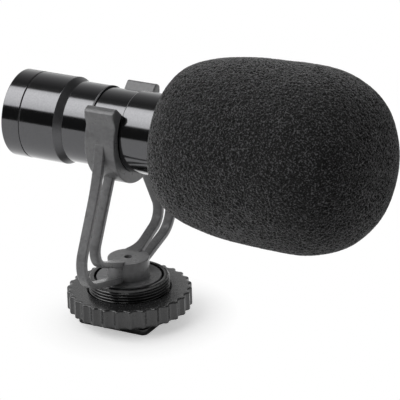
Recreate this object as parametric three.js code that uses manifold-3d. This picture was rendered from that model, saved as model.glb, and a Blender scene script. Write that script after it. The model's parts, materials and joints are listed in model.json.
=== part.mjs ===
// A small camera-top microphone in its lyre mount, with a foam windscreen and a cold-shoe foot.
// Millimetres, +Z up. The origin is the centre of the foot's underside and +X is where the microphone points.
import * as THREE from 'three';
import { mergeVertices } from 'three/addons/utils/BufferGeometryUtils.js';
import Module from 'manifold-3d';

const wasm = await Module();
wasm.setup();

// Clearances shared by all pieces
const fitGap = 0.1;
const seatGap = 0.05;
const runGap = 0.08;
const cutOverrun = 1;
const TURN_STEPS = 36;
const SMALL_TURN_STEPS = 24;

// Foot: a plate that slides in a cold shoe, and the stem between the shoe's rails
const footSide = 18.6;
const footHeight = 1.7;
const footCorner = 2.4;
const footEdge = 0.35;
const stemRadius = 6.1;
const stemTop = 5.9;

// Threaded collar and its cup for the mount's flange
const collarRadius = 9.66;
const collarTop = 10.45;
const threadPitch = 0.75;
const threadDepth = 0.38;
const crestShare = 0.3;
const cupRadius = 8.3;
const cupDepth = 1.6;

// Washer and clamp wheel, at their place in the photograph
const washerBottom = 2.05;
const washerHeight = 0.75;
const washerRadius = 12.8;
const wheelRadius = 14.85;
const wheelHeight = 4.55;
const wheelFlange = 1.1;
const wheelStemGap = 0.3;
const wheelEdge = 0.4;
const fluteCount = 30;
const fluteDepth = 0.6;
const fluteWidthShare = 0.8;

// Screw that holds foot, collar and mount together, and the vent above it
const screwRadius = 1.4;
const screwHeadRadius = 2.8;
const screwTop = 12.8;
const ventRadius = 0.95;

// Hub and flange of the mount
const hubRadius = 4.96;
const hubTop = 15.1;
const hubEdge = 0.25;
const flangeRadius = 7.7;

// Axis and barrel of the microphone, with stations along +X
const micAxis = 47.33;
const capRear = -27.02;
const capSeam = -22.29;
const shoulderRear = -13.15;
const shoulderFront = -11.13;
const seatRear = -4;
const tubeSeam = 3.86;
const tubeFront = 52;
const rearRadius = 10.3;
const barrelRadius = 9.52;
const seatDepth = 0.36;
const neckDepth = 0.35;
const edgeBevel = 0.25;
const housingWall = 1.45;
const tubeWall = 1.1;
const seamGap = 0.06;

// Rear cap and the output socket in it
const capWeb = 2.9;
const capSpigot = 3;
const capSpigotWall = 1.3;
const capRim = 0.5;
const recessRadius = 5.2;
const recessDepth = 1.8;
const bushRadius = 3;
const socketRadius = 1.8;
const nutRadius = 4.4;
const nutHeight = 1.3;
const bushRecess = 0.25;
const jackLength = 12;
const jackWidth = 6.4;
const jackHeight = 6;
const socketDepth = 14;

// Circuit board with its capacitor, and the socket's pins
const boardLength = 18;
const boardWidth = 11;
const boardThickness = 1;
const capacitorRadius = 1.5;
const capacitorLength = 5.5;
const pinLength = 1.6;
const pinWidth = 1;
const pinOffset = 2.4;

// Slotted front tube, its liner, mesh and end ring
const tubeSpigot = 4;
const slotCount = 10;
const slotRows = 2;
const slotWidth = 2.6;
const slotLength = 14.5;
const slotRowStart = 15.5;
const slotRowGap = 2.6;
const linerWall = 0.25;
const linerStart = 13;
const meshThickness = 0.5;
const tipRingLength = 2.2;
const tipRingLip = 1.4;
const tipRingEdge = 0.7;

// Capsule in its rubber boot, and the wires to it
const capsuleRadius = 6.9;
const capsuleLength = 6.2;
const capsuleRear = 24;
const soundRingShare = 0.75;
const bootRimLength = 0.9;
const bootStop = 1.5;
const wireRadius = 0.45;
const wireSpread = 0.65;
const wireRise = 1.35;

// Windscreen of open-cell foam
const foamRear = 13.38;
const foamFront = 66.89;
const foamWidest = 46.24;
const foamRadius = 21.41;
const foamMouth = 11.18;
const foamBoreFront = 55;
const tailFullnessShares = [0.69, 0.75];
const noseFullnessShares = [0.73, 0.55];

// Clip of the mount, thickest below the barrel, with flared lips; angles are up from the horizontal
const clipWidth = 7.56;
const clipRadius = 11.4;
const clipDrop = 0.9;
const clipEdge = 0.3;
const lipFaceAngle = 42.5;
const lipFaceRadius = 12.5;
const lipEdgeAngle = 33.5;
const lipEdgeRadius = 13.3;
const lipUnderAngle = 29.5;
const lipUnderRadius = 12.8;
const lipRootAngle = 24;
const lipCorner = 1.5;

// Arms of the mount, two strands to a side; reach and height are those of an elbow's centre
const strandWidth = 2.45;
const strandThickness = 1.4;
const strandEdge = 0.22;
const outerElbowReach = 14.55;
const outerElbowHeight = 20.7;
const outerElbowRadius = 6.7;
const innerElbowReach = 10.8;
const innerElbowHeight = 21.9;
const innerElbowRadius = 4.3;
const innerStartAngle = -51;
const shoulderReach = 15.2;
const shoulderHeight = 34;
const shoulderBendShares = [0.36, 0.58];
const filletReach = 2.1;
const rootFlareAngle = 50;

const DEGREE = Math.PI / 180;
const bushEnd = capRear + bushRecess;
const capInner = capRear + recessDepth + capWeb;
const housingBore = barrelRadius - housingWall;
const tubeBore = barrelRadius - tubeWall;
const linerRadius = tubeBore - fitGap;
const bootRadius = linerRadius - linerWall - fitGap;
const clipBore = barrelRadius - seatDepth + fitGap;
const collarBottom = stemTop + seatGap;
const cupFloor = collarTop - cupDepth;
const wheelBottom = washerBottom + washerHeight + seatGap;
const boardStart = capSeam + capSpigot + fitGap;
const boardTop = micAxis - jackHeight / 2 - fitGap;

// Surfaces
const glossBlack = new THREE.MeshStandardMaterial({ color: 0x0b0b0c, roughness: 0.16, metalness: 0.6 });
const satinBlack = new THREE.MeshStandardMaterial({ color: 0x17171a, roughness: 0.45, metalness: 0.5 });
const wheelGrey = new THREE.MeshStandardMaterial({ color: 0x2b2c2f, roughness: 0.62, metalness: 0.2 });
const mountGrey = new THREE.MeshStandardMaterial({ color: 0x3a3b3d, roughness: 0.58, metalness: 0 });
const foamGrey = new THREE.MeshStandardMaterial({ color: 0x1c1d1f, roughness: 1, metalness: 0 });
const plated = new THREE.MeshStandardMaterial({ color: 0xb9bbbe, roughness: 0.3, metalness: 1 });
const mouldedBlack = new THREE.MeshStandardMaterial({ color: 0x141414, roughness: 0.5, metalness: 0 });
const boardGreen = new THREE.MeshStandardMaterial({ color: 0x1d5a35, roughness: 0.5, metalness: 0 });
const rubberBlack = new THREE.MeshStandardMaterial({ color: 0x121212, roughness: 0.85, metalness: 0 });
const clothBlack = new THREE.MeshStandardMaterial({ color: 0x101011, roughness: 0.95, metalness: 0 });
const wireRed = new THREE.MeshStandardMaterial({ color: 0x9c1f1c, roughness: 0.6, metalness: 0 });
const wireWhite = new THREE.MeshStandardMaterial({ color: 0xc9c6bd, roughness: 0.6, metalness: 0 });

// A closed geometry as a solid, turned the right way out
function solid(geometry) {
  const bare = geometry.clone();
  for (const name of Object.keys(bare.attributes)) {
    if (name !== 'position') bare.deleteAttribute(name);
  }
  const merged = mergeVertices(bare, 1e-4);
  const triVerts = new Uint32Array(merged.index.array);
  const vertProperties = new Float32Array(merged.attributes.position.array);
  const made = new wasm.Manifold(new wasm.Mesh({ numProp: 3, vertProperties, triVerts }));
  if (made.volume() > 0) return made;
  for (let i = 0; i < triVerts.length; i += 3) {
    [triVerts[i + 1], triVerts[i + 2]] = [triVerts[i + 2], triVerts[i + 1]];
  }
  return new wasm.Manifold(new wasm.Mesh({ numProp: 3, vertProperties, triVerts }));
}

// A solid as a mesh of the scene
function piece(name, body, material) {
  const mesh = body.getMesh();
  const geometry = new THREE.BufferGeometry();
  geometry.setAttribute('position', new THREE.BufferAttribute(new Float32Array(mesh.vertProperties), 3));
  geometry.setIndex(new THREE.BufferAttribute(new Uint32Array(mesh.triVerts), 1));
  const flat = geometry.toNonIndexed();
  flat.computeVertexNormals();
  const made = new THREE.Mesh(flat, material);
  made.name = name;
  return made;
}

// Axes that send a shape's own x, y and z to the directions given
function axes(x, y, z) {
  return new THREE.Matrix4().makeBasis(x, y, z);
}
const X = new THREE.Vector3(1, 0, 0);
const Y = new THREE.Vector3(0, 1, 0);
const Z = new THREE.Vector3(0, 0, 1);

// A point at an angle, in degrees, and a radius round a centre
function polar(radius, angle, centreX = 0, centreY = 0) {
  const turn = angle * DEGREE;
  return new THREE.Vector2(centreX + radius * Math.cos(turn), centreY + radius * Math.sin(turn));
}

// A turned solid about +Z, from [radius, height] points that close on themselves or on the axis
function turnedUp(profile, steps = TURN_STEPS) {
  const points = profile.map(([radius, height]) => new THREE.Vector2(radius, height));
  const lathe = new THREE.LatheGeometry(points, steps);
  return solid(lathe.applyMatrix4(axes(Y, Z, X)));
}

// A turned solid about the microphone's axis, from [radius, place along +X] points
function turnedAlong(profile, steps = TURN_STEPS) {
  const points = profile.map(([radius, along]) => new THREE.Vector2(radius, along));
  const lathe = new THREE.LatheGeometry(points, steps);
  lathe.applyMatrix4(axes(Z, X, Y));
  return solid(lathe.translate(0, 0, micAxis));
}

// The profile of a plain ring, closed on itself
function ring(inner, outer, start, end) {
  return [[inner, start], [outer, start], [outer, end], [inner, end], [inner, start]];
}

// The profile of a plain rod, from axis to axis
function rod(radius, start, end) {
  return [[0, start], [radius, start], [radius, end], [0, end]];
}

// A block between two corners
function block(low, high) {
  const size = high.map((value, i) => value - low[i]);
  const box = new THREE.BoxGeometry(...size);
  return solid(box.translate(...low.map((value, i) => value + size[i] / 2)));
}

// A rectangle with round corners
function roundedRectangle(width, depth, radius) {
  const shape = new THREE.Shape();
  const x = width / 2 - radius;
  const y = depth / 2 - radius;
  shape.absarc(x, y, radius, 0, Math.PI / 2);
  shape.absarc(-x, y, radius, Math.PI / 2, Math.PI);
  shape.absarc(-x, -y, radius, Math.PI, 1.5 * Math.PI);
  shape.absarc(x, -y, radius, 1.5 * Math.PI, 2 * Math.PI);
  return shape;
}

// A shape given a depth, with its edges eased
function extruded(shape, depth, edge, curveSegments) {
  return new THREE.ExtrudeGeometry(shape, {
    depth: depth - 2 * edge,
    bevelEnabled: edge > 0,
    bevelThickness: edge,
    bevelSize: edge,
    bevelOffset: -edge,
    bevelSegments: 1,
    curveSegments,
  });
}

// A shape drawn in X and Y, raised along +Z from one height to another
function raised(shape, from, to, edge, curveSegments) {
  return solid(extruded(shape, to - from, edge, curveSegments).translate(0, 0, from + edge));
}

// A shape drawn in Y and Z, given its width along X about the middle
function acrossX(shape, width, edge, curveSegments) {
  const body = extruded(shape, width, edge, curveSegments);
  body.translate(0, 0, edge - width / 2);
  return solid(body.applyMatrix4(axes(Y, Z, X)));
}

// The same solid on the other side of the X-Z plane
function mirrored(body) {
  return body.mirror([0, 1, 0]);
}

// Room for the screw and its cone-shaped head, up to the end of its thread
function screwRoom() {
  const cone = screwHeadRadius - screwRadius;
  const shank = screwRadius + seatGap;
  const head = screwHeadRadius + seatGap;
  return turnedUp([
    [0, -cutOverrun], [head, -cutOverrun], [head, 0], [shank, cone],
    [shank, screwTop + fitGap], [0, screwTop + fitGap],
  ], SMALL_TURN_STEPS);
}

// Foot plate with its stem, countersunk from below for the screw
function shoeFoot() {
  const outline = roundedRectangle(footSide, footSide, footCorner);
  const plate = raised(outline, 0, footHeight, footEdge, 5);
  const stem = turnedUp(rod(stemRadius, footHeight / 2, stemTop));
  return plate.add(stem).subtract(screwRoom());
}

// Collar with its thread as ridges, and the cup that the flange sits in
function threadedCollar() {
  const root = collarRadius - threadDepth;
  const profile = [[0, collarBottom], [root, collarBottom]];
  const ridges = Math.floor((collarTop - collarBottom) / threadPitch) - 1;
  const start = collarTop - (ridges + 1 / 2) * threadPitch;
  const flank = threadPitch * (1 - crestShare) / 2;
  for (let i = 0; i < ridges; i += 1) {
    const low = start + i * threadPitch;
    profile.push([root, low]);
    profile.push([collarRadius, low + flank]);
    profile.push([collarRadius, low + threadPitch - flank]);
  }
  profile.push([root, start + ridges * threadPitch], [root, collarTop]);
  profile.push([cupRadius, collarTop], [cupRadius, cupFloor], [0, cupFloor]);
  return turnedUp(profile).subtract(screwRoom());
}

// Countersunk screw, flush with the foot's underside
function hubScrew() {
  const cone = screwHeadRadius - screwRadius;
  return turnedUp([
    [0, 0], [screwHeadRadius, 0], [screwRadius, cone], [screwRadius, screwTop - ventRadius / 2],
    [ventRadius, screwTop], [0, screwTop],
  ], SMALL_TURN_STEPS);
}

// Washer between the wheel and the rails of the shoe
function clampWasher() {
  return turnedUp(ring(stemRadius + fitGap, washerRadius, washerBottom, washerBottom + washerHeight));
}

// Outline of the wheel, lands on the rim with a round flute between each two
function wheelOutline() {
  const shape = new THREE.Shape();
  const pitch = 2 * Math.PI / fluteCount;
  const half = pitch * fluteWidthShare / 2;
  const chord = wheelRadius * Math.sin(half);
  const sag = fluteDepth - wheelRadius * (1 - Math.cos(half));
  const fluteRadius = (chord * chord + sag * sag) / (2 * sag);
  const centre = wheelRadius * Math.cos(half) - sag + fluteRadius;
  const open = Math.asin(chord / fluteRadius);
  for (let i = 0; i < fluteCount; i += 1) {
    const middle = i * pitch;
    const cx = centre * Math.cos(middle);
    const cy = centre * Math.sin(middle);
    shape.absarc(cx, cy, fluteRadius, middle + Math.PI + open, middle + Math.PI - open, true);
  }
  return shape;
}

// Clamp wheel: fluted rim, bore over the collar and a flange below it
function clampWheel() {
  const top = wheelBottom + wheelHeight;
  const body = raised(wheelOutline(), wheelBottom, top, wheelEdge, 2);
  const bore = collarRadius + runGap;
  const hole = stemRadius + wheelStemGap;
  const room = turnedUp([
    [0, wheelBottom - cutOverrun], [hole, wheelBottom - cutOverrun],
    [hole, wheelBottom + wheelFlange], [bore, wheelBottom + wheelFlange],
    [bore, top - wheelEdge], [bore + wheelEdge, top], [bore + wheelEdge, top + cutOverrun],
    [0, top + cutOverrun],
  ]);
  return body.subtract(room);
}

// Angle round an elbow at which a straight line from a point runs on to it
function tangentAngle(point, centre, radius, side) {
  const toPoint = point.clone().sub(centre);
  return toPoint.angle() + side * Math.acos(radius / toPoint.length());
}

// Centre line of a strand from a point on its upper stretch, round the elbow and in to its root in the hub
function elbowPath(path, centre, radius, rootHeight) {
  const root = new THREE.Vector2(hubRadius - strandThickness, rootHeight);
  const from = tangentAngle(path.currentPoint, centre, radius, -1);
  const to = tangentAngle(root, centre, radius, 1);
  const start = new THREE.Vector2(radius * Math.cos(from), radius * Math.sin(from)).add(centre);
  path.lineTo(start.x, start.y);
  path.absarc(centre.x, centre.y, radius, from, to, true);
  path.lineTo(root.x, root.y);
  return path;
}

// Outer strand: off the clip's side in a slow curve, then straight to the elbow and into the flange
function outerPath() {
  const side = clipRadius - strandThickness / 2;
  const [bendOut, bendDown] = shoulderBendShares;
  const path = new THREE.Path();
  path.moveTo(side, micAxis);
  path.quadraticCurveTo(
    side + bendOut * (shoulderReach - side), micAxis - bendDown * (micAxis - shoulderHeight),
    shoulderReach, shoulderHeight,
  );
  const centre = new THREE.Vector2(outerElbowReach, outerElbowHeight);
  return elbowPath(path, centre, outerElbowRadius, (cupFloor + seatGap + collarTop) / 2);
}

// Inner strand: off the underside of the clip, straight to the elbow and into the hub's top
function innerPath() {
  const start = polar((clipBore + clipRadius) / 2, innerStartAngle, 0, micAxis);
  const path = new THREE.Path();
  path.moveTo(start.x, start.y);
  const centre = new THREE.Vector2(innerElbowReach, innerElbowHeight);
  return elbowPath(path, centre, innerElbowRadius, hubTop - strandThickness / 2);
}

// A strand of even thickness along a path
function strand(path, steps, width = strandWidth) {
  const spine = path.getPoints(steps).filter((point, i, all) => (
    i === 0 || point.distanceTo(all[i - 1]) > strandEdge / 2
  ));
  const side = (half) => spine.map((point, i) => {
    const before = spine[Math.max(i - 1, 0)];
    const after = spine[Math.min(i + 1, spine.length - 1)];
    const along = after.clone().sub(before).normalize();
    return new THREE.Vector2(point.x - along.y * half, point.y + along.x * half);
  });
  const left = side(strandThickness / 2);
  const right = side(-strandThickness / 2);
  return acrossX(new THREE.Shape([...left, ...right.reverse()]), width, strandEdge);
}

// Web that carries the inner strand's upper side in a curve down into the hub's top face
function hubFillet(width = strandWidth) {
  const path = innerPath();
  const run = path.curves[path.curves.length - 1];
  const root = run.getPoint(1);
  const out = run.getTangent(0).negate();
  const half = strandThickness / 2;
  const above = new THREE.Vector2(-out.y, out.x).multiplyScalar(half);
  const corner = root.clone().add(above);
  corner.addScaledVector(out, (hubTop - corner.y) / out.y);
  const from = corner.clone().addScaledVector(out, filletReach);
  const to = corner.x - filletReach;
  const shape = new THREE.Shape();
  shape.moveTo(from.x, from.y);
  shape.quadraticCurveTo(corner.x, corner.y, to, hubTop);
  shape.lineTo(to, hubTop - half);
  shape.lineTo(root.x, root.y);
  shape.lineTo(from.x - above.x, from.y - above.y);
  return acrossX(shape, width, strandEdge, 4);
}

// Flare that widens the inner strand's root, seen from above, until it runs on into the hub's rim
function rootFlare() {
  const leave = polar(hubRadius, rootFlareAngle);
  const half = strandWidth / 2;
  const tangent = (leave.x - half) / Math.sin(rootFlareAngle * DEGREE);
  const bend = leave.y + tangent * Math.cos(rootFlareAngle * DEGREE);
  const plan = new THREE.Shape();
  plan.moveTo(leave.x, 0);
  plan.lineTo(leave.x, leave.y);
  plan.quadraticCurveTo(half, bend, half, bend + tangent);
  plan.lineTo(-half, bend + tangent);
  plan.quadraticCurveTo(-half, bend, -leave.x, leave.y);
  plan.lineTo(-leave.x, 0);
  const wide = strand(innerPath(), 6, 2 * hubRadius).add(hubFillet(2 * hubRadius));
  return wide.intersect(raised(plan, cupFloor, innerElbowHeight, 0, 4));
}

// Section of the clip: round bore, low-hung outer circle and two flared lips
function clipOutline() {
  const centre = micAxis - clipDrop;
  const face = polar(clipBore, lipFaceAngle, 0, micAxis);
  const tip = polar(lipFaceRadius, lipFaceAngle, 0, micAxis);
  const edge = polar(lipEdgeRadius, lipEdgeAngle, 0, micAxis);
  const under = polar(lipUnderRadius, lipUnderAngle, 0, micAxis);
  const root = polar(clipRadius, lipRootAngle, 0, centre);
  const crest = polar(lipEdgeRadius, (lipFaceAngle + lipEdgeAngle) / 2, 0, micAxis);
  const tuck = polar(clipRadius, (lipUnderAngle + lipRootAngle) / 2, 0, micAxis);
  const open = lipFaceAngle * DEGREE;
  const leave = lipRootAngle * DEGREE;
  const shape = new THREE.Shape();
  shape.moveTo(-face.x, face.y);
  shape.absarc(0, micAxis, clipBore, Math.PI - open, 2 * Math.PI + open, false);
  shape.lineTo(tip.x, tip.y);
  shape.quadraticCurveTo(crest.x, crest.y, edge.x, edge.y);
  shape.lineTo(under.x, under.y);
  shape.quadraticCurveTo(tuck.x, tuck.y, root.x, root.y);
  shape.absarc(0, centre, clipRadius, leave, Math.PI - leave, true);
  shape.quadraticCurveTo(-tuck.x, tuck.y, -under.x, under.y);
  shape.lineTo(-edge.x, edge.y);
  shape.quadraticCurveTo(-crest.x, crest.y, -tip.x, tip.y);
  return shape;
}

// Clip with the corners of its lips rounded in plan
function clip() {
  const ringBody = acrossX(clipOutline(), clipWidth, clipEdge, 11);
  const reach = polar(lipEdgeRadius, lipEdgeAngle).x;
  const low = micAxis + polar(clipRadius, lipRootAngle).y - clipDrop;
  const high = micAxis + lipEdgeRadius + cutOverrun;
  const keep = raised(roundedRectangle(clipWidth, 2 * reach, lipCorner), low, high, 0, 5);
  const room = block(
    [-clipWidth, -reach - cutOverrun, low],
    [clipWidth, reach + cutOverrun, high],
  );
  return ringBody.subtract(room.subtract(keep));
}

// Hub with its flange in the collar's cup
function hub() {
  return turnedUp([
    [0, cupFloor + seatGap], [flangeRadius, cupFloor + seatGap], [flangeRadius, collarTop],
    [hubRadius + hubEdge, collarTop], [hubRadius, collarTop + hubEdge],
    [hubRadius, hubTop - hubEdge], [hubRadius - hubEdge, hubTop], [0, hubTop],
  ]);
}

// The mount is one moulding: clip, four strands, hub and flange
function lyreMount() {
  const half = strand(outerPath(), 7).add(strand(innerPath(), 6)).add(hubFillet()).add(rootFlare());
  const bore = turnedAlong(rod(clipBore, -clipWidth, clipWidth));
  const arms = half.add(mirrored(half)).subtract(bore);
  const vent = turnedUp(rod(ventRadius, screwTop, hubTop + cutOverrun), SMALL_TURN_STEPS);
  return clip().add(arms).add(hub()).subtract(screwRoom()).subtract(vent);
}

// Rear cap: eased rim, recess for the socket's nut and a spigot that enters the housing
function rearCap() {
  const spigot = rearRadius - housingWall - seatGap;
  const inner = spigot - capSpigotWall;
  const seam = capSeam - seamGap;
  const spigotEnd = capSeam + capSpigot;
  const hole = bushRadius + seatGap;
  const recess = capRear + recessDepth;
  return turnedAlong([
    [hole, recess], [recessRadius, recess], [recessRadius, capRear],
    [rearRadius - capRim, capRear], [rearRadius, capRear + capRim],
    [rearRadius, seam - edgeBevel], [rearRadius - edgeBevel, seam], [spigot, seam],
    [spigot, spigotEnd], [inner, spigotEnd], [inner, capInner], [hole, capInner], [hole, recess],
  ]);
}

// Housing of the barrel, with the shoulder cone and the shallow seat that the clip holds it by
function housing() {
  const wide = rearRadius - housingWall;
  const neck = barrelRadius - neckDepth;
  const seat = barrelRadius - seatDepth;
  const front = tubeSeam - seamGap;
  return turnedAlong([
    [wide, capSeam], [rearRadius - edgeBevel, capSeam], [rearRadius, capSeam + edgeBevel],
    [rearRadius, shoulderRear], [neck, shoulderFront - edgeBevel], [barrelRadius, shoulderFront],
    [barrelRadius, seatRear - edgeBevel / 2], [barrelRadius - edgeBevel / 2, seatRear],
    [seat, seatRear], [seat, front],
    [housingBore, front], [housingBore, shoulderRear], [wide, shoulderRear], [wide, capSeam],
  ]);
}

// One slot of the front tube, with round ends, cut straight through both walls
function slot(start, angle) {
  const shape = new THREE.Shape();
  const radius = slotWidth / 2;
  const reach = barrelRadius + cutOverrun;
  shape.absarc(slotLength - radius, 0, radius, -Math.PI / 2, Math.PI / 2);
  shape.absarc(radius, 0, radius, Math.PI / 2, 1.5 * Math.PI);
  const body = extruded(shape, 2 * reach, 0, 3).translate(start, 0, -reach);
  return solid(body.rotateX(angle).translate(0, 0, micAxis));
}

// Slotted tube that carries the capsule, with a spigot into the housing
function frontTube() {
  const spigot = housingBore - seatGap;
  const inner = spigot - tubeWall;
  const step = linerStart - fitGap;
  let body = turnedAlong([
    [inner, tubeSeam - tubeSpigot], [spigot, tubeSeam - tubeSpigot], [spigot, tubeSeam],
    [barrelRadius - edgeBevel / 2, tubeSeam], [barrelRadius, tubeSeam + edgeBevel / 2],
    [barrelRadius, tubeFront], [tubeBore, tubeFront], [tubeBore, step],
    [inner, step], [inner, tubeSeam - tubeSpigot],
  ]);
  for (let row = 0; row < slotRows; row += 1) {
    const start = slotRowStart + row * (slotLength + slotRowGap);
    for (let i = 0; i < slotCount / 2; i += 1) {
      body = body.subtract(slot(start, i * 2 * Math.PI / slotCount));
    }
  }
  return body;
}

// Cloth sleeve inside the slots
function tubeLiner() {
  const end = tubeFront - meshThickness - 2 * fitGap;
  return turnedAlong(ring(linerRadius - linerWall, linerRadius, linerStart, end));
}

// Round mesh at the mouth of the tube
function frontMesh() {
  return turnedAlong(rod(tubeBore - fitGap, tubeFront - meshThickness - fitGap, tubeFront - fitGap));
}

// Ring that holds the mesh at the tube's end
function tipRing() {
  const start = tubeFront + seatGap;
  const end = tubeFront + tipRingLength;
  const inner = tubeBore - tipRingLip;
  return turnedAlong([
    [inner, start], [barrelRadius, start], [barrelRadius, end - tipRingEdge],
    [barrelRadius - tipRingEdge, end], [inner + edgeBevel, end], [inner, end - edgeBevel],
    [inner, start],
  ]);
}

// Metal can of the capsule, its face let in a little inside the rim
function capsule() {
  const end = capsuleRear + capsuleLength;
  const rim = capsuleRadius * soundRingShare;
  return turnedAlong([
    [0, capsuleRear], [capsuleRadius - edgeBevel, capsuleRear], [capsuleRadius, capsuleRear + edgeBevel],
    [capsuleRadius, end - edgeBevel], [capsuleRadius - edgeBevel, end], [rim, end],
    [rim, end - edgeBevel], [0, end - edgeBevel],
  ]);
}

// Rubber boot round the can, with a rim that stops it at the rear
function capsuleBoot() {
  const hold = capsuleRadius + seatGap;
  const stop = capsuleRadius - bootStop;
  const rear = capsuleRear - seatGap;
  const front = capsuleRear + capsuleLength;
  return turnedAlong([
    [stop, rear - bootRimLength], [bootRadius, rear - bootRimLength], [bootRadius, front],
    [hold, front], [hold, rear], [stop, rear], [stop, rear - bootRimLength],
  ]);
}

// Socket: moulded body, threaded bush and the nut that holds it in the cap
function jackBody() {
  const start = capInner + seatGap;
  const body = block(
    [start, -jackWidth / 2, micAxis - jackHeight / 2],
    [start + jackLength, jackWidth / 2, micAxis + jackHeight / 2],
  );
  const bore = rod(socketRadius, start - cutOverrun, capRear + socketDepth);
  return body.subtract(turnedAlong(bore, SMALL_TURN_STEPS));
}

function jackBush() {
  return turnedAlong([
    [socketRadius + edgeBevel, bushEnd], [bushRadius - edgeBevel, bushEnd],
    [bushRadius, bushEnd + edgeBevel], [bushRadius, capInner], [socketRadius, capInner],
    [socketRadius, bushEnd + edgeBevel], [socketRadius + edgeBevel, bushEnd],
  ], SMALL_TURN_STEPS);
}

function jackNut() {
  const seat = capRear + recessDepth - seatGap;
  const inner = bushRadius + seatGap;
  const rear = seat - nutHeight;
  return turnedAlong([
    [inner, rear], [nutRadius - edgeBevel, rear], [nutRadius, rear + edgeBevel], [nutRadius, seat],
    [inner, seat], [inner, rear],
  ]);
}

// Board under the socket
function circuitBoard() {
  return block(
    [boardStart, -boardWidth / 2, boardTop - boardThickness],
    [boardStart + boardLength, boardWidth / 2, boardTop],
  );
}

// Solder pin at the socket's end
const pinStart = capInner + jackLength + fitGap;
function jackPin(side) {
  const middle = side * pinOffset;
  const low = boardTop + seatGap;
  return block(
    [pinStart, middle - pinWidth / 2, low],
    [pinStart + pinLength, middle + pinWidth / 2, low + pinWidth],
  );
}

// Capacitor that lies on the board
function capacitor() {
  const start = boardStart + boardLength - capacitorLength;
  const body = turnedAlong(rod(capacitorRadius, start, start + capacitorLength), SMALL_TURN_STEPS);
  return body.translate([0, 0, boardTop + capacitorRadius + seatGap - micAxis]);
}

// Wire from a solder pin to the back of the capsule; the shares are of its run and its rise
const wireShares = [[0, 0], [0.06, 0.05], [0.2, 0.5], [0.42, 0.9], [0.7, 0.8], [0.92, 0.98], [1, 1]];
function wire(side) {
  const middle = side * pinOffset;
  const start = new THREE.Vector3(pinStart + pinLength + seatGap, middle, boardTop + wireRise);
  const end = new THREE.Vector3(capsuleRear - fitGap, middle, micAxis);
  const points = wireShares.map(([along, rise]) => new THREE.Vector3(
    start.x + along * (end.x - start.x),
    middle + side * wireSpread * Math.sin(along * Math.PI),
    start.z + rise * (end.z - start.z),
  ));
  const section = new THREE.Shape();
  section.absarc(0, 0, wireRadius, 0, 2 * Math.PI);
  return solid(new THREE.ExtrudeGeometry(section, {
    steps: 14,
    extrudePath: new THREE.CatmullRomCurve3(points),
    curveSegments: 3,
  }));
}

// Windscreen: a full front, a longer taper to the rear, and a blind bore for the tube
function windscreen() {
  const bore = barrelRadius + fitGap;
  const tail = foamWidest - foamRear;
  const nose = foamFront - foamWidest;
  const [tailRise, tailReach] = tailFullnessShares;
  const [noseReach, noseFall] = noseFullnessShares;
  const outline = new THREE.Path();
  outline.moveTo(foamMouth, foamRear);
  outline.bezierCurveTo(
    foamMouth + tailRise * (foamRadius - foamMouth), foamRear,
    foamRadius, foamWidest - tailReach * tail,
    foamRadius, foamWidest,
  );
  outline.bezierCurveTo(
    foamRadius, foamWidest + noseReach * nose,
    noseFall * foamRadius, foamFront,
    0, foamFront,
  );
  const skin = outline.getPoints(9).map((point) => [point.x, point.y]);
  const bevel = (foamMouth - bore) / 2;
  return turnedAlong([
    [0, foamBoreFront], [bore, foamBoreFront], [bore, foamRear + bevel],
    [bore + bevel, foamRear], ...skin,
  ]);
}

// The whole microphone
const microphone = new THREE.Group();
microphone.add(
  piece('shoe_foot', shoeFoot(), satinBlack),
  piece('threaded_collar', threadedCollar(), satinBlack),
  piece('hub_screw', hubScrew(), plated),
  piece('clamp_washer', clampWasher(), mouldedBlack),
  piece('clamp_wheel', clampWheel(), wheelGrey),
  piece('lyre_mount', lyreMount(), mountGrey),
  piece('rear_cap', rearCap(), glossBlack),
  piece('housing', housing(), glossBlack),
  piece('front_tube', frontTube(), glossBlack),
  piece('tube_liner', tubeLiner(), clothBlack),
  piece('front_mesh', frontMesh(), plated),
  piece('tip_ring', tipRing(), glossBlack),
  piece('capsule', capsule(), plated),
  piece('capsule_boot', capsuleBoot(), rubberBlack),
  piece('jack_body', jackBody(), mouldedBlack),
  piece('jack_bush', jackBush(), plated),
  piece('jack_nut', jackNut(), plated),
  piece('jack_pin_tip', jackPin(1), plated),
  piece('jack_pin_sleeve', jackPin(-1), plated),
  piece('circuit_board', circuitBoard(), boardGreen),
  piece('capacitor', capacitor(), mouldedBlack),
  piece('signal_wire', wire(1), wireRed),
  piece('ground_wire', wire(-1), wireWhite),
  piece('foam_windscreen', windscreen(), foamGrey),
);

export default microphone;
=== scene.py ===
import json
import math

import bmesh
import bpy
from bpy.props import FloatProperty, FloatVectorProperty, IntProperty, PointerProperty
from mathutils import Matrix, Vector, noise
from mathutils.geometry import interpolate_bezier


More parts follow.
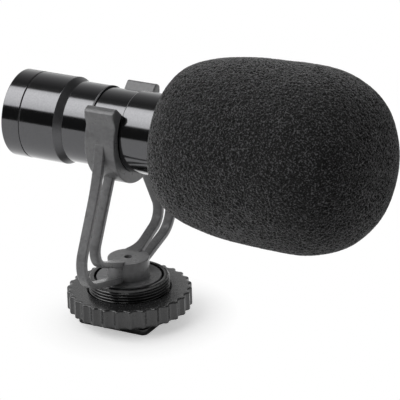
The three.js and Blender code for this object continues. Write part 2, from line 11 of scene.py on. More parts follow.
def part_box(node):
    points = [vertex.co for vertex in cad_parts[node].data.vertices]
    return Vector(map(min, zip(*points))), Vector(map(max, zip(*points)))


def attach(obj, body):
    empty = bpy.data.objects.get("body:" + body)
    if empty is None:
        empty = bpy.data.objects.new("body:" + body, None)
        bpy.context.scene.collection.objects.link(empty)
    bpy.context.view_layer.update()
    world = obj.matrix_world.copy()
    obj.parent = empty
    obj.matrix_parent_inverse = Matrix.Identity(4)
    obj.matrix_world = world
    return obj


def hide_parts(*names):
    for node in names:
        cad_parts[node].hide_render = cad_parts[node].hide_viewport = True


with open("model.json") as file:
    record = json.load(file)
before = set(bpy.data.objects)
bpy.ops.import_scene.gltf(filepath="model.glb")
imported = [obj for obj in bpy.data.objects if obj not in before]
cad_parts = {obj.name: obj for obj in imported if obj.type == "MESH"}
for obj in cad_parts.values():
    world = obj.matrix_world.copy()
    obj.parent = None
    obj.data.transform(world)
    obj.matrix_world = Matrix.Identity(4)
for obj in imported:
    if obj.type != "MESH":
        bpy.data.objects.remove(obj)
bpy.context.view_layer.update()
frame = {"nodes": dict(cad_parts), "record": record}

bl_info = {
    "name": "Camera microphone",
    "version": (1, 0, 0),
    "blender": (4, 5, 0),
    "location": "3D View > Sidebar > Microphone",
    "description": "Builds a small camera microphone with its lyre mount and foam windscreen",
    "category": "Add Mesh",
}

# Lengths below TINY are nought, and points within NEAR of a place are on it. A full turn is made of at most
# MOST_SECTORS sectors. SEAM and SLIP are the gaps at a visible seam and between fitted pieces.

MM = 0.001
TINY = 1e-7
NEAR = 4e-6
MOST_SECTORS = 8
SEAM = 0.06 * MM
SLIP = 0.05 * MM
X, Y, Z = Vector((1, 0, 0)), Vector((0, 1, 0)), Vector((0, 0, 1))


# Sizes and colours that a user would change

def length(name, description, millimetres):
    """A size in the scene's own unit, given in millimetres"""
    return FloatProperty(name=name, description=description, default=millimetres * MM, unit="LENGTH", precision=5)


def colour(name, description, default):
    """A colour that can be picked in the panel"""
    return FloatVectorProperty(name=name, description=description, default=default, subtype="COLOR", size=3)


def middle_height(node):
    """Height of a node's middle above the foot"""
    low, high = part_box(node)
    return (low.z + high.z) / 2


def half_height(node):
    """Half of a node's height, which is a round piece's radius"""
    low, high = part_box(node)
    return (high.z - low.z) / 2


def start_of(node):
    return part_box(node)[0]


def end_of(node):
    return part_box(node)[1]


class BarrelSizes(bpy.types.PropertyGroup):
    """Sizes and colours of the microphone's barrel"""
    wall: length("Wall", "Wall of the housing", 1.45)
    shoulder_rear: length("Shoulder rear", "Where the cone leaves the wide part", -13.15)
    shoulder_front: length("Shoulder front", "Where the cone meets the narrow part", -11.13)
    neck_depth: length("Neck depth", "Depth of the fine neck at the cone's foot", 0.35)
    seat_rear: length("Seat rear", "Rear face of the clip's seat", -4.0)
    seat_depth: length("Seat depth", "Depth of the clip's seat", 0.36)
    edge: length("Edge", "Easing of the barrel's edges", 0.25)
    rim: length("Rim", "Easing of the rear rim", 0.3)
    seat_edge: length("Seat edge", "Width of the satin edge before the clip's seat", 0.45)
    seat_edge_run: length("Seat edge run", "How far that edge runs on into the seat", 0.03)
    recess: length("Recess", "Radius of the recess round the socket", 5.2)
    recess_depth: length("Recess depth", "Depth of the recess round the socket", 1.8)
    bush: length("Bush", "Outer radius of the socket's bush", 3.0)
    socket: length("Socket", "Radius of the socket's bore", 1.8)
    steps: IntProperty(name="Steps", description="Steps round the barrel", default=192, min=24)
    lacquer: colour("Lacquer", "Black finish of the barrel", (0.083, 0.083, 0.086))


class TubeSizes(bpy.types.PropertyGroup):
    """Sizes of the slotted tube in front of the clip"""
    wall: length("Wall", "Wall of the slotted tube", 1.1)
    rear_edge: length("Rear edge", "Easing of the tube's rear edge", 0.4)
    satin_edge: length("Satin edge", "Width of the satin band on that edge", 0.3)
    slots: IntProperty(name="Slots", description="Slots round the tube", default=10, min=2)
    slot_width: length("Slot width", "Width of a slot", 2.6)
    slot_length: length("Slot length", "Length of a slot", 14.5)
    slot_start: length("First row", "Where the first row of slots starts", 15.5)
    slot_gap: length("Row gap", "Metal between the two rows of slots", 2.6)
    lip: length("Lip", "Inward lip of the end ring", 1.4)
    mesh_pitch: length("Mesh pitch", "Distance between the wires of the front mesh", 0.6)
    mesh_wire: length("Mesh wire", "Thickness of the front mesh's wires", 0.2)
    mesh_rim: length("Mesh rim", "Width of the front mesh's rim", 0.5)


class MountSizes(bpy.types.PropertyGroup):
    """Sizes and colour of the lyre mount"""
    hub: length("Hub", "Radius of the hub", 4.96)
    hub_top: length("Hub top", "Height of the hub's top face", 15.1)
    vent: length("Vent", "Radius of the hole in the hub", 0.95)
    vent_floor: length("Vent floor", "Height where the hole ends on the screw", 12.8)
    screw_room: length("Screw room", "Radius of the screw's hole in the hub", 1.5)
    flange: length("Flange", "Radius of the flange", 7.7)
    flange_top: length("Flange top", "Height of the flange's top face", 10.45)
    clip: length("Clip", "Outer radius of the clip", 11.4)
    clip_drop: length("Clip drop", "How far the clip's outer circle hangs below the barrel's axis", 0.9)
    clip_rear: length("Clip rear", "Rear face of the clip", -3.95)
    clip_front: length("Clip front", "Front face of the clip", 3.78)
    clip_gap: length("Clip gap", "Running gap between the clip and its seat", 0.1)
    clip_edge: length("Clip edge", "Easing of the clip's edges", 0.3)
    lip_face: length("Lip face", "Radius where the lip's end face stops", 12.5)
    lip_edge: length("Lip edge", "Radius of the lip's outermost edge", 13.3)
    lip_under: length("Lip underside", "Radius of the lip's underside", 12.8)
    lip_corner: length("Lip corner", "Rounding of the lip's corners, seen from above", 0.8)
    strand_width: length("Strand width", "Width of a strand along the barrel", 2.45)
    strand_thickness: length("Strand thickness", "Thickness of a strand", 1.4)
    strand_edge: length("Strand edge", "Easing of a strand's edges", 0.28)
    root_rise: length("Root rise", "How far an outer strand's root stands above the flange", 0.2)
    outer_reach: length("Outer elbow reach", "Outer elbow's centre, sideways", 14.55)
    outer_height: length("Outer elbow height", "Outer elbow's centre, upwards", 20.7)
    outer_radius: length("Outer elbow radius", "Radius of the outer elbow", 6.7)
    inner_reach: length("Inner elbow reach", "Inner elbow's centre, sideways", 10.8)
    inner_height: length("Inner elbow height", "Inner elbow's centre, upwards", 21.9)
    inner_radius: length("Inner elbow radius", "Radius of the inner elbow", 4.3)
    shoulder_reach: length("Shoulder reach", "Where the outer strand becomes straight, sideways", 15.2)
    shoulder_height: length("Shoulder height", "Where the outer strand becomes straight, upwards", 34.0)
    fillet: length("Fillet", "Reach of the web between hub and inner strand", 0.8)
    moulding: colour("Moulding", "Dark grey of the moulding", (0.16, 0.16, 0.163))


class FootSizes(bpy.types.PropertyGroup):
    """Sizes and colours of foot, collar, washer and wheel"""
    corner: length("Corner", "Rounding of the foot's corners", 1.5)
    plate: length("Plate", "Thickness of the foot's plate", 1.7)
    plate_edge: length("Plate edge", "Easing of the foot's edges", 0.35)
    stem: length("Stem", "Radius of the stem between the rails", 6.1)
    screw: length("Screw", "Radius of the screw", 1.4)
    screw_head: length("Screw head", "Radius of the screw's head", 2.8)
    pitch: length("Thread pitch", "Pitch of the collar's thread", 0.75)
    thread: length("Thread depth", "Depth of the collar's thread", 0.38)
    cup: length("Cup", "Radius of the cup that the flange sits in", 8.3)
    cup_depth: length("Cup depth", "Depth of that cup", 1.6)
    flutes: IntProperty(name="Flutes", description="Flutes round the wheel", default=30, min=3)
    flute_depth: length("Flute depth", "Depth of a flute", 0.72)
    wheel_hole: length("Wheel hole", "Radius of the hole in the wheel's flange", 6.4)
    wheel_bore: length("Wheel bore", "Radius of the wheel's bore over the thread", 9.74)
    wheel_flange: length("Wheel flange", "Thickness of the wheel's inner flange", 1.1)
    wheel_edge: length("Wheel edge", "Easing of the wheel's edges", 0.42)
    satin: colour("Satin black", "Finish of foot and collar", (0.006, 0.006, 0.0063))
    wheel: colour("Wheel", "Finish of the wheel", (0.029, 0.029, 0.03))


class FoamSizes(bpy.types.PropertyGroup):
    """Sizes and colour of the windscreen"""
    mouth: length("Mouth", "Radius where the foam turns in at the rear", 11.18)
    bore: length("Bore", "Radius of the bore", 9.62)
    bore_front: length("Bore front", "Where the bore ends", 55.0)
    widest: length("Widest", "Where the foam is widest", 46.24)
    radius: length("Radius", "Radius of the foam at its widest", 21.41)
    cell: length("Cell", "Size of the foam's cells", 0.8)
    relief: length("Relief", "Depth of the cells in the surface", 0.42)
    spacing: length("Spacing", "Distance between points of the foam's surface", 0.22)
    foam: colour("Foam", "Dark grey of the foam", (0.0096, 0.0096, 0.01))


class StudioSizes(bpy.types.PropertyGroup):
    """Camera and light"""
    distance: length("Distance", "Distance from the camera to its target", 617.16)
    lens: FloatProperty(name="Lens", description="Focal length in millimetres", default=241.44)
    azimuth: FloatProperty(name="Azimuth", description="Camera's turn round the object",
                           default=math.radians(28.57), subtype="ANGLE")
    elevation: FloatProperty(name="Elevation", description="Camera's height as an angle",
                             default=math.radians(22.28), subtype="ANGLE")
    roll: FloatProperty(name="Roll", description="Camera's roll", default=math.radians(-1.41), subtype="ANGLE")
    key: FloatProperty(name="Key light", description="Power of the overhead lamp", default=4.5, unit="POWER")
    fill: FloatProperty(name="Fill", description="Strength of the light from the camera's side", default=0.03)
    backdrop: FloatProperty(name="Backdrop", description="Strength of the light from the backdrop", default=0.8)
    backdrop_turn: FloatProperty(name="Backdrop turn", description="Where the backdrop's light comes from",
                                 default=math.radians(-25), subtype="ANGLE")
    panel: FloatProperty(name="Bright panel", description="Strength of the panel that gloss reflects", default=5.6)
    floor_lift: FloatProperty(name="Floor lift", description="How much paler the floor is near the foot",
                              default=0.44)
    floor_gloss: FloatProperty(name="Floor in gloss", description="Strength of the floor that gloss reflects",
                               default=1.3)


# Materials

def principled(name, base, metallic=0.0, roughness=0.5):
    """A new material with its tree, its shader and the position that its patterns follow"""
    material = bpy.data.materials.new(name)
    material.use_nodes = True
    tree = material.node_tree
    shader = tree.nodes["Principled BSDF"]
    shader.inputs["Base Color"].default_value = (*base, 1)
    shader.inputs["Metallic"].default_value = metallic
    shader.inputs["Roughness"].default_value = roughness
    place = tree.nodes.new("ShaderNodeTexCoord").outputs["Object"]
    return material, tree, shader, place


def speckle(tree, place, size, detail=2.0):
    """Noise with features of about the given size"""
    node = tree.nodes.new("ShaderNodeTexNoise")
    node.inputs["Scale"].default_value = 1 / size
    node.inputs["Detail"].default_value = detail
    tree.links.new(place, node.inputs["Vector"])
    return node.outputs["Fac"]


def stretched(tree, place, scale):
    """The position, squeezed or stretched along its axes"""
    node = tree.nodes.new("ShaderNodeMapping")
    node.inputs["Scale"].default_value = scale
    tree.links.new(place, node.inputs["Vector"])
    return node.outputs["Vector"]


def ranged(tree, value, low, high, start=0.3, end=0.7):
    """The value, spread between two others"""
    node = tree.nodes.new("ShaderNodeMapRange")
    for socket, number in (("From Min", start), ("From Max", end), ("To Min", low), ("To Max", high)):
        node.inputs[socket].default_value = number
    tree.links.new(value, node.inputs["Value"])
    return node.outputs["Result"]


def calculated(tree, operation, first, second):
    """Two values or sockets put together"""
    node = tree.nodes.new("ShaderNodeMath")
    node.operation = operation
    for socket, value in zip(node.inputs, (first, second)):
        if isinstance(value, bpy.types.NodeSocket):
            tree.links.new(value, socket)
        else:
            socket.default_value = value
    return node.outputs[0]


def blended(tree, factor, first, second):
    """A colour between two others; each is a colour or a socket"""
    node = tree.nodes.new("ShaderNodeMix")
    node.data_type = "RGBA"
    tree.links.new(factor, node.inputs[0])
    for socket, value in ((node.inputs[6], first), (node.inputs[7], second)):
        if isinstance(value, bpy.types.NodeSocket):
            tree.links.new(value, socket)
        else:
            socket.default_value = (*value, 1)
    return node.outputs[2]


def shade(base, factor):
    """A colour made lighter or darker"""
    return tuple(min(1.0, channel * factor) for channel in base)


def raised_by(tree, shader, height, distance, strength=1.0):
    """Bump from a height, chained on any bump that the shader has"""
    node = tree.nodes.new("ShaderNodeBump")
    node.inputs["Strength"].default_value = strength
    node.inputs["Distance"].default_value = distance
    tree.links.new(height, node.inputs["Height"])
    normal = shader.inputs["Normal"]
    if normal.is_linked:
        tree.links.new(normal.links[0].from_socket, node.inputs["Normal"])
    tree.links.new(node.outputs["Normal"], normal)


def lacquer(name, base, *bands):
    """Deep black gloss with the faint ripple and haze of a real coat, and satin in turned bands"""
    material, tree, shader, place = principled(name, base, metallic=1.0)
    rough = ranged(tree, speckle(tree, place, 6 * MM, 3), 0.085, 0.13)
    split = tree.nodes.new("ShaderNodeSeparateXYZ")
    tree.links.new(place, split.inputs[0])
    for start, end, satin in bands:
        after = calculated(tree, "GREATER_THAN", split.outputs["X"], start)
        inside = calculated(tree, "MULTIPLY", after, calculated(tree, "LESS_THAN", split.outputs["X"], end))
        rough = calculated(tree, "MAXIMUM", rough, calculated(tree, "MULTIPLY", inside, satin))
    tree.links.new(rough, shader.inputs["Roughness"])
    dust = speckle(tree, place, 0.35 * MM, 1)
    tone = ranged(tree, dust, 0.0, 1.0, 0.25, 0.75)
    tree.links.new(blended(tree, tone, shade(base, 0.93), shade(base, 1.07)), shader.inputs["Base Color"])
    raised_by(tree, shader, speckle(tree, place, 3 * MM, 2), 0.004 * MM)
    return material


def satin_metal(name, base):
    """Painted metal with a fine orange peel"""
    material, tree, shader, place = principled(name, base, roughness=0.2)
    tree.links.new(ranged(tree, speckle(tree, place, 2.5 * MM, 3), 0.16, 0.24), shader.inputs["Roughness"])
    tone = ranged(tree, speckle(tree, place, 1.2 * MM, 4), 0.0, 1.0)
    tree.links.new(blended(tree, tone, shade(base, 0.85), shade(base, 1.18)), shader.inputs["Base Color"])
    raised_by(tree, shader, speckle(tree, place, 0.22 * MM, 2), 0.006 * MM)
    return material


def matt_metal(name, base):
    """Finely blasted finish of the wheel"""
    material, tree, shader, place = principled(name, base, roughness=0.25)
    tree.links.new(ranged(tree, speckle(tree, place, 1.6 * MM, 3), 0.2, 0.3), shader.inputs["Roughness"])
    tone = ranged(tree, speckle(tree, place, 0.3 * MM, 3), 0.0, 1.0)
    mottled = blended(tree, tone, shade(base, 0.85), shade(base, 1.15))
    tree.links.new(mottled, shader.inputs["Base Color"])
    raised_by(tree, shader, speckle(tree, place, 0.12 * MM, 2), 0.012 * MM)
    return material


def moulded(name, base, size=0.16 * MM, roughness=(0.25, 0.34)):
    """Moulded plastic with a spark-eroded grain"""
    material, tree, shader, place = principled(name, base, roughness=sum(roughness) / 2)
    shader.inputs["Specular IOR Level"].default_value = 0.3
    tree.links.new(ranged(tree, speckle(tree, place, 2.2 * MM, 3), *roughness), shader.inputs["Roughness"])
    tone = ranged(tree, speckle(tree, place, 0.9 * MM, 4), 0.0, 1.0)
    tree.links.new(blended(tree, tone, shade(base, 0.88), shade(base, 1.12)), shader.inputs["Base Color"])
    raised_by(tree, shader, speckle(tree, place, size, 2), 0.008 * MM)
    return material


def open_cell(name, base):
    """Open-cell foam: a grain of lighter strands, partly painted glints, over pits darkened as painted shade"""
    material, tree, shader, place = principled(name, base, roughness=0.95)
    shader.inputs["Sheen Weight"].default_value = 0.38
    shader.inputs["Sheen Roughness"].default_value = 0.45
    shader.inputs["Specular IOR Level"].default_value = 0.25
    pit = tree.nodes.new("ShaderNodeAttribute")
    pit.attribute_name = "pit"
    # Grain from near black to bright: random lighter strands and darker gaps, with its brightest specks partly
    # painted glints
    grain = speckle(tree, place, 0.36 * MM, 1)
    tone = blended(tree, ranged(tree, grain, 0.0, 1.0, 0.52, 0.66), shade(base, 0.05), shade(base, 9.5))
    # Painted shade: the deeper a point lies in its cell, the darker its colour is painted
    dark = blended(tree, ranged(tree, pit.outputs["Fac"], 0.0, 0.75, 0.2, 0.9), tone, shade(base, 0.1))
    tree.links.new(dark, shader.inputs["Base Color"])
    raised_by(tree, shader, grain, 0.3 * MM)
    return material


def plating(name, base):
    """Nickel plate with fine turned marks"""
    material, tree, shader, place = principled(name, base, metallic=1.0)
    marks = speckle(tree, stretched(tree, place, (12, 1, 1)), 0.8 * MM, 3)
    tree.links.new(ranged(tree, marks, 0.2, 0.36), shader.inputs["Roughness"])
    tone = ranged(tree, speckle(tree, place, 1.5 * MM, 3), 0.0, 1.0)
    tree.links.new(blended(tree, tone, shade(base, 0.88), base), shader.inputs["Base Color"])
    raised_by(tree, shader, marks, 0.004 * MM)
    return material


def rubber(name, base):
    """Matt rubber with bloom"""
    material, tree, shader, place = principled(name, base, roughness=0.8)
    tree.links.new(ranged(tree, speckle(tree, place, 1.2 * MM, 3), 0.7, 0.9), shader.inputs["Roughness"])
    tone = ranged(tree, speckle(tree, place, 0.7 * MM, 3), 0.0, 1.0)
    tree.links.new(blended(tree, tone, shade(base, 0.8), shade(base, 1.5)), shader.inputs["Base Color"])
    raised_by(tree, shader, speckle(tree, place, 0.2 * MM, 2), 0.01 * MM)
    return material


def acoustic_cloth(name, base):
    """Fine woven cloth inside the slots"""
    material, tree, shader, place = principled(name, base, roughness=0.9)
    heights = []
    for direction in ("X", "Z"):
        thread = tree.nodes.new("ShaderNodeTexWave")
        thread.bands_direction = direction
        thread.inputs["Scale"].default_value = 1 / (2.2 * MM)
        tree.links.new(place, thread.inputs["Vector"])
        heights.append(thread.outputs["Fac"])
    weave = tree.nodes.new("ShaderNodeMath")
    weave.operation = "MULTIPLY"
    tree.links.new(heights[0], weave.inputs[0])
    tree.links.new(heights[1], weave.inputs[1])
    tree.links.new(blended(tree, weave.outputs[0], shade(base, 0.5), shade(base, 2)), shader.inputs["Base Color"])
    raised_by(tree, shader, weave.outputs[0], 0.03 * MM)
    return material


def solder_mask(name, base):
    """Green circuit board with copper tracks below its mask"""
    material, tree, shader, place = principled(name, base, roughness=0.35)
    tracks = tree.nodes.new("ShaderNodeTexBrick")
    tracks.inputs["Scale"].default_value = 1 / (6 * MM)
    tracks.inputs["Mortar Size"].default_value = 0.06
    tree.links.new(place, tracks.inputs["Vector"])
    tree.links.new(blended(tree, tracks.outputs["Fac"], base, shade(base, 1.6)), shader.inputs["Base Color"])
    tree.links.new(ranged(tree, speckle(tree, place, 1 * MM), 0.3, 0.42), shader.inputs["Roughness"])
    raised_by(tree, shader, tracks.outputs["Fac"], 0.02 * MM)
    return material


def record_colour(name):
    """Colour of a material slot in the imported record"""
    for entry in frame["record"]["materials"]:
        if entry["slot"] == name:
            return tuple(entry["base_color"][:3])
    raise ValueError(f"the record has no material slot {name}")


# Mesh helpers

def unique(items):
    """The items once each, in the order in which they come"""
    return list(dict.fromkeys(items))


def put_in_order(bm):
    """Rebuilds the mesh with its points and faces in the order of their places. Spin gives its faces in
    another order each run, and what is made from them could change with it."""
    verts = sorted(bm.verts, key=lambda vert: vert.co[:])
    number = {vert: i for i, vert in enumerate(verts)}
    points = [vert.co.copy() for vert in verts]
    rings = []
    for face in bm.faces:
        ring = [number[vert] for vert in face.verts]
        first = ring.index(min(ring))
        rings.append(ring[first:] + ring[:first])
    bm.clear()
    made = [bm.verts.new(point) for point in points]
    for ring in sorted(rings):
        bm.faces.new([made[i] for i in ring])
    bm.normal_update()


def finished(bm, name, material, body, slot, *nodes, sharp=35):
    """Turns a bmesh into a smooth piece that rides on its body and stands for its CAD nodes"""
    mesh = bpy.data.meshes.new(name)
    bm.to_mesh(mesh)
    bm.free()
    for face in mesh.polygons:
        face.use_smooth = True
    mesh.set_sharp_from_angle(angle=math.radians(sharp))
    mesh.materials.append(material)
    piece = bpy.data.objects.new(name, mesh)
    bpy.context.scene.collection.objects.link(piece)
    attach(piece, body)
    if nodes:
        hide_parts(*nodes)
    return piece


def evened(piece):
    """Keeps wide faces true beside their eased edges"""
    even = piece.modifiers.new("Even normals", "WEIGHTED_NORMAL")
    even.mode = "FACE_AREA"
    even.keep_sharp = True
    return piece


def turned(bm, corners, steps, along, centre=Vector()):
    """Spins [radius, place, easing] corners about an axis, in an empty mesh, and eases the rings that need it.
    A sector is spun first and then doubled until it closes."""
    out = Z if along == X else X
    start = [bm.verts.new(centre + out * radius + along * place) for radius, place, _ in corners]
    edges = [bm.edges.new(pair) for pair in zip(start, start[1:])]
    if corners[0][0] > 0 or corners[-1][0] > 0:
        edges.append(bm.edges.new((start[-1], start[0])))
    sectors = math.gcd(steps, MOST_SECTORS)
    angle = 2 * math.pi / sectors
    bmesh.ops.spin(bm, geom=start + edges, cent=centre, axis=along, angle=angle, steps=steps // sectors)
    while sectors > 1:
        copies = bmesh.ops.duplicate(bm, geom=bm.verts[:] + bm.edges[:] + bm.faces[:])["geom"]
        copied = [item for item in copies if isinstance(item, bmesh.types.BMVert)]
        bmesh.ops.rotate(bm, verts=copied, cent=centre, matrix=Matrix.Rotation(angle, 3, along))
        angle *= 2
        sectors //= 2
    bmesh.ops.remove_doubles(bm, verts=bm.verts, dist=TINY)
    bmesh.ops.recalc_face_normals(bm, faces=bm.faces)
    put_in_order(bm)

    def station(vert):
        arm = vert.co - centre
        place = arm.dot(along)
        return (arm - along * place).length, place

    for easing in sorted({corner[2] for corner in corners if corner[2] > 0}, reverse=True):
        spots = [corner[:2] for corner in corners if corner[2] == easing]
        rings = [{vert for vert in bm.verts if math.dist(station(vert), spot) < NEAR} for spot in spots]
        eased = [edge for edge in bm.edges
                 if any(edge.verts[0] in ring and edge.verts[1] in ring for ring in rings)]
        bmesh.ops.bevel(bm, geom=eased, offset=easing, offset_type="OFFSET", segments=4, profile=0.5,
                        affect="EDGES", clamp_overlap=True, material=-1)
        put_in_order(bm)


def turned_along(bm, corners, steps):
    """A round piece about the microphone's axis, from [radius, place along the barrel, easing]"""
    turned(bm, corners, steps, X, Vector((0, 0, middle_height("housing"))))


def turned_up(bm, corners, steps):
    """A round piece about the foot's axis, from [radius, height, easing]"""
    turned(bm, corners, steps, Z)


def solid_object(bm, name):
    mesh = bpy.data.meshes.new(name)
    bm.to_mesh(mesh)
    bm.free()
    made = bpy.data.objects.new(name, mesh)
    bpy.context.scene.collection.objects.link(made)
    return made


def through(bm, add_modifiers):
    """The mesh after modifiers that are applied at once"""
    work = solid_object(bm, "work")
    add_modifiers(work)
    graph = bpy.context.evaluated_depsgraph_get()
    done = bpy.data.meshes.new_from_object(work.evaluated_get(graph))
    result = bmesh.new()
    result.from_mesh(done)
    bpy.data.meshes.remove(done)
    bpy.data.objects.remove(work)
    return result


def combined(bm, tool, operation):
    """The mesh with the tool's solid joined to it or cut from it"""
    put_in_order(bm)
    put_in_order(tool)
    other = solid_object(tool, "tool")

    def add(work):
        boolean = work.modifiers.new("Boolean", "BOOLEAN")
        boolean.operation = operation
        boolean.solver = "EXACT"
        boolean.object = other

    result = through(bm, add)
    bpy.data.objects.remove(other)
    return result


def cut(bm, tool):
    return combined(bm, tool, "DIFFERENCE")


def slid(bm, geometry, offset):
    """Extrudes a loop of edges by an offset and returns the new loop"""
    made = bmesh.ops.extrude_edge_only(bm, edges=geometry)["geom"]
    verts = [item for item in made if isinstance(item, bmesh.types.BMVert)]
    bmesh.ops.translate(bm, verts=verts, vec=offset)
    return [item for item in made if isinstance(item, bmesh.types.BMEdge)
            and all(vert in verts for vert in item.verts)]


def swung(bm, geometry, centre, angle, steps):
    """Spins a loop of edges about an axis along X and returns the new loop"""
    verts = unique(vert for edge in geometry for vert in edge.verts)
    last = bmesh.ops.spin(bm, geom=verts + geometry, cent=centre, axis=X, angle=angle, steps=steps)["geom_last"]
    return [item for item in last if isinstance(item, bmesh.types.BMEdge)]


# Barrel, with the easings of its smaller edges and the roughness of its satin bands

RECESS_FLOOR_EDGE = 0.3 * MM
RECESS_RIM_EDGE = 0.2 * MM
CONE_EDGE = 0.16 * MM
NECK_EDGE = 0.05 * MM
STEP_EDGE = 0.06 * MM
CAP_WALL = 1.3 * MM
CAP_WEB = 2.9 * MM
CONE_SATIN = 0.4
SEAT_SATIN = 0.6


def barrel_rear(sizes):
    """Profiles of rear cap and housing"""
    cap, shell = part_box("rear_cap"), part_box("housing")
    wide = half_height("housing")
    narrow = half_height("front_tube")
    rear = cap[0].x
    seam = shell[0].x
    hole = sizes.bush + SLIP
    recess = rear + sizes.recess_depth
    spigot = wide - sizes.wall - SEAM
    inner = spigot - CAP_WALL
    web = recess + CAP_WEB
    cap_profile = [
        (hole, recess, 0), (sizes.recess, recess, RECESS_FLOOR_EDGE), (sizes.recess, rear, RECESS_RIM_EDGE),
        (wide, rear, sizes.rim), (wide, seam - SEAM, sizes.edge), (spigot, seam - SEAM, 0),
        (spigot, cap[1].x, 0), (inner, cap[1].x, 0), (inner, web, 0), (hole, web, 0),
    ]
    front = shell[1].x
    neck = narrow - sizes.neck_depth
    seat = narrow - sizes.seat_depth
    bore = narrow - sizes.wall
    shell_profile = [
        (wide - sizes.wall, seam, 0), (wide, seam, sizes.edge), (wide, sizes.shoulder_rear, CONE_EDGE),
        (neck, sizes.shoulder_front - sizes.edge, NECK_EDGE), (narrow, sizes.shoulder_front, STEP_EDGE),
        (narrow, sizes.seat_rear, STEP_EDGE), (seat, sizes.seat_rear, 0), (seat, front, 0),
        (bore, front, 0), (bore, sizes.shoulder_rear, 0), (wide - sizes.wall, sizes.shoulder_rear, 0),
    ]
    return cap_profile, shell_profile


class MICROPHONE_OT_barrel(bpy.types.Operator):
    """Rear cap and housing"""
    bl_idname = "microphone.barrel"
    bl_label = "Barrel"

    def execute(self, context):
        sizes = context.scene.microphone_barrel
        cone = (sizes.shoulder_rear, sizes.shoulder_front, CONE_SATIN)
        seat_edge = (sizes.seat_rear - sizes.seat_edge, sizes.seat_rear + sizes.seat_edge_run, SEAT_SATIN)
        gloss = lacquer("barrel lacquer", sizes.lacquer, cone, seat_edge)
        for name, profile in zip(("rear_cap", "housing"), barrel_rear(sizes)):
            bm = bmesh.new()
            turned_along(bm, profile, sizes.steps)
            evened(finished(bm, f"{name}_shell", gloss, "barrel", "barrel_gloss", name))
        return {"FINISHED"}


BUSH_MOUTH_EDGE = 0.25 * MM
BUSH_EDGE = 0.2 * MM
NUT_EDGE = 0.25 * MM
NUT_HOLE_EDGE = 0.1 * MM
NUT_NOTCH = 0.9 * MM, 2 * MM, 1.1 * MM


class MICROPHONE_OT_socket(bpy.types.Operator):
    """Threaded bush and nut of the output socket"""
    bl_idname = "microphone.socket"
    bl_label = "Socket"

    def execute(self, context):
        sizes = context.scene.microphone_barrel
        metal = plating("socket plating", record_colour("plated"))
        bush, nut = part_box("jack_bush"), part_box("jack_nut")
        bm = bmesh.new()
        turned_along(bm, [
            (sizes.socket, bush[0].x, BUSH_MOUTH_EDGE), (sizes.bush, bush[0].x, BUSH_EDGE),
            (sizes.bush, bush[1].x, 0), (sizes.socket, bush[1].x, 0),
        ], 64)
        evened(finished(bm, "socket_bush", metal, "barrel", "plated", "jack_bush"))
        bm = bmesh.new()
        outer = half_height("jack_nut")
        hole = sizes.bush + SLIP
        turned_along(bm, [
            (hole, nut[0].x, NUT_HOLE_EDGE), (outer, nut[0].x, NUT_EDGE), (outer, nut[1].x, 0),
            (hole, nut[1].x, 0),
        ], 96)
        for side in (-1, 1):
            notch = bmesh.new()
            bmesh.ops.create_cube(notch, size=1)
            bmesh.ops.scale(notch, verts=notch.verts, vec=NUT_NOTCH)
            middle = Vector((nut[0].x, side * outer, middle_height("housing")))
            bmesh.ops.translate(notch, verts=notch.verts, vec=middle)
            bm = cut(bm, notch)
        finished(bm, "socket_nut", metal, "barrel", "plated", "jack_nut")
        return {"FINISHED"}


# Slotted tube, its end ring and its mesh

TUBE_STEPS = 160
SLOT_STEPS = 24
CUTTER_WALLS = 3
TUBE_SATIN = 0.35
TUBE_FRONT_EDGE = 0.1 * MM
TIP_EDGE = 0.7 * MM
TIP_LIP_EDGE = 0.3 * MM
LINER_GAP = 0.1 * MM


def slots_tool(sizes, bore, height):
    """Cutter for both rows of slots. Each slot has round ends, and its cutter starts inside the bore and stays
    clear of the others."""
    bm = bmesh.new()
    radius = sizes.slot_width / 2
    run = sizes.slot_length - sizes.slot_width
    for row in range(2):
        start = sizes.slot_start + row * (sizes.slot_length + sizes.slot_gap)
        for i in range(sizes.slots):
            base = bmesh.ops.create_circle(bm, cap_ends=True, segments=SLOT_STEPS, radius=radius)["verts"]
            ahead = [vert for vert in base if vert.co.x > TINY]
            bmesh.ops.translate(bm, verts=ahead, vec=(run, 0, 0))
            made = bmesh.ops.extrude_face_region(bm, geom=unique(base[0].link_faces))["geom"]
            top = [item for item in made if isinstance(item, bmesh.types.BMVert)]
            bmesh.ops.translate(bm, verts=top, vec=(0, 0, CUTTER_WALLS * sizes.wall))
            bmesh.ops.translate(bm, verts=base + top, vec=(start + radius, 0, bore - sizes.wall))
            turn = Matrix.Rotation(i * 2 * math.pi / sizes.slots, 3, "X")
            bmesh.ops.rotate(bm, verts=base + top, cent=(0, 0, 0), matrix=turn)
    bmesh.ops.translate(bm, verts=bm.verts, vec=(0, 0, height))
    bmesh.ops.recalc_face_normals(bm, faces=bm.faces)
    return bm


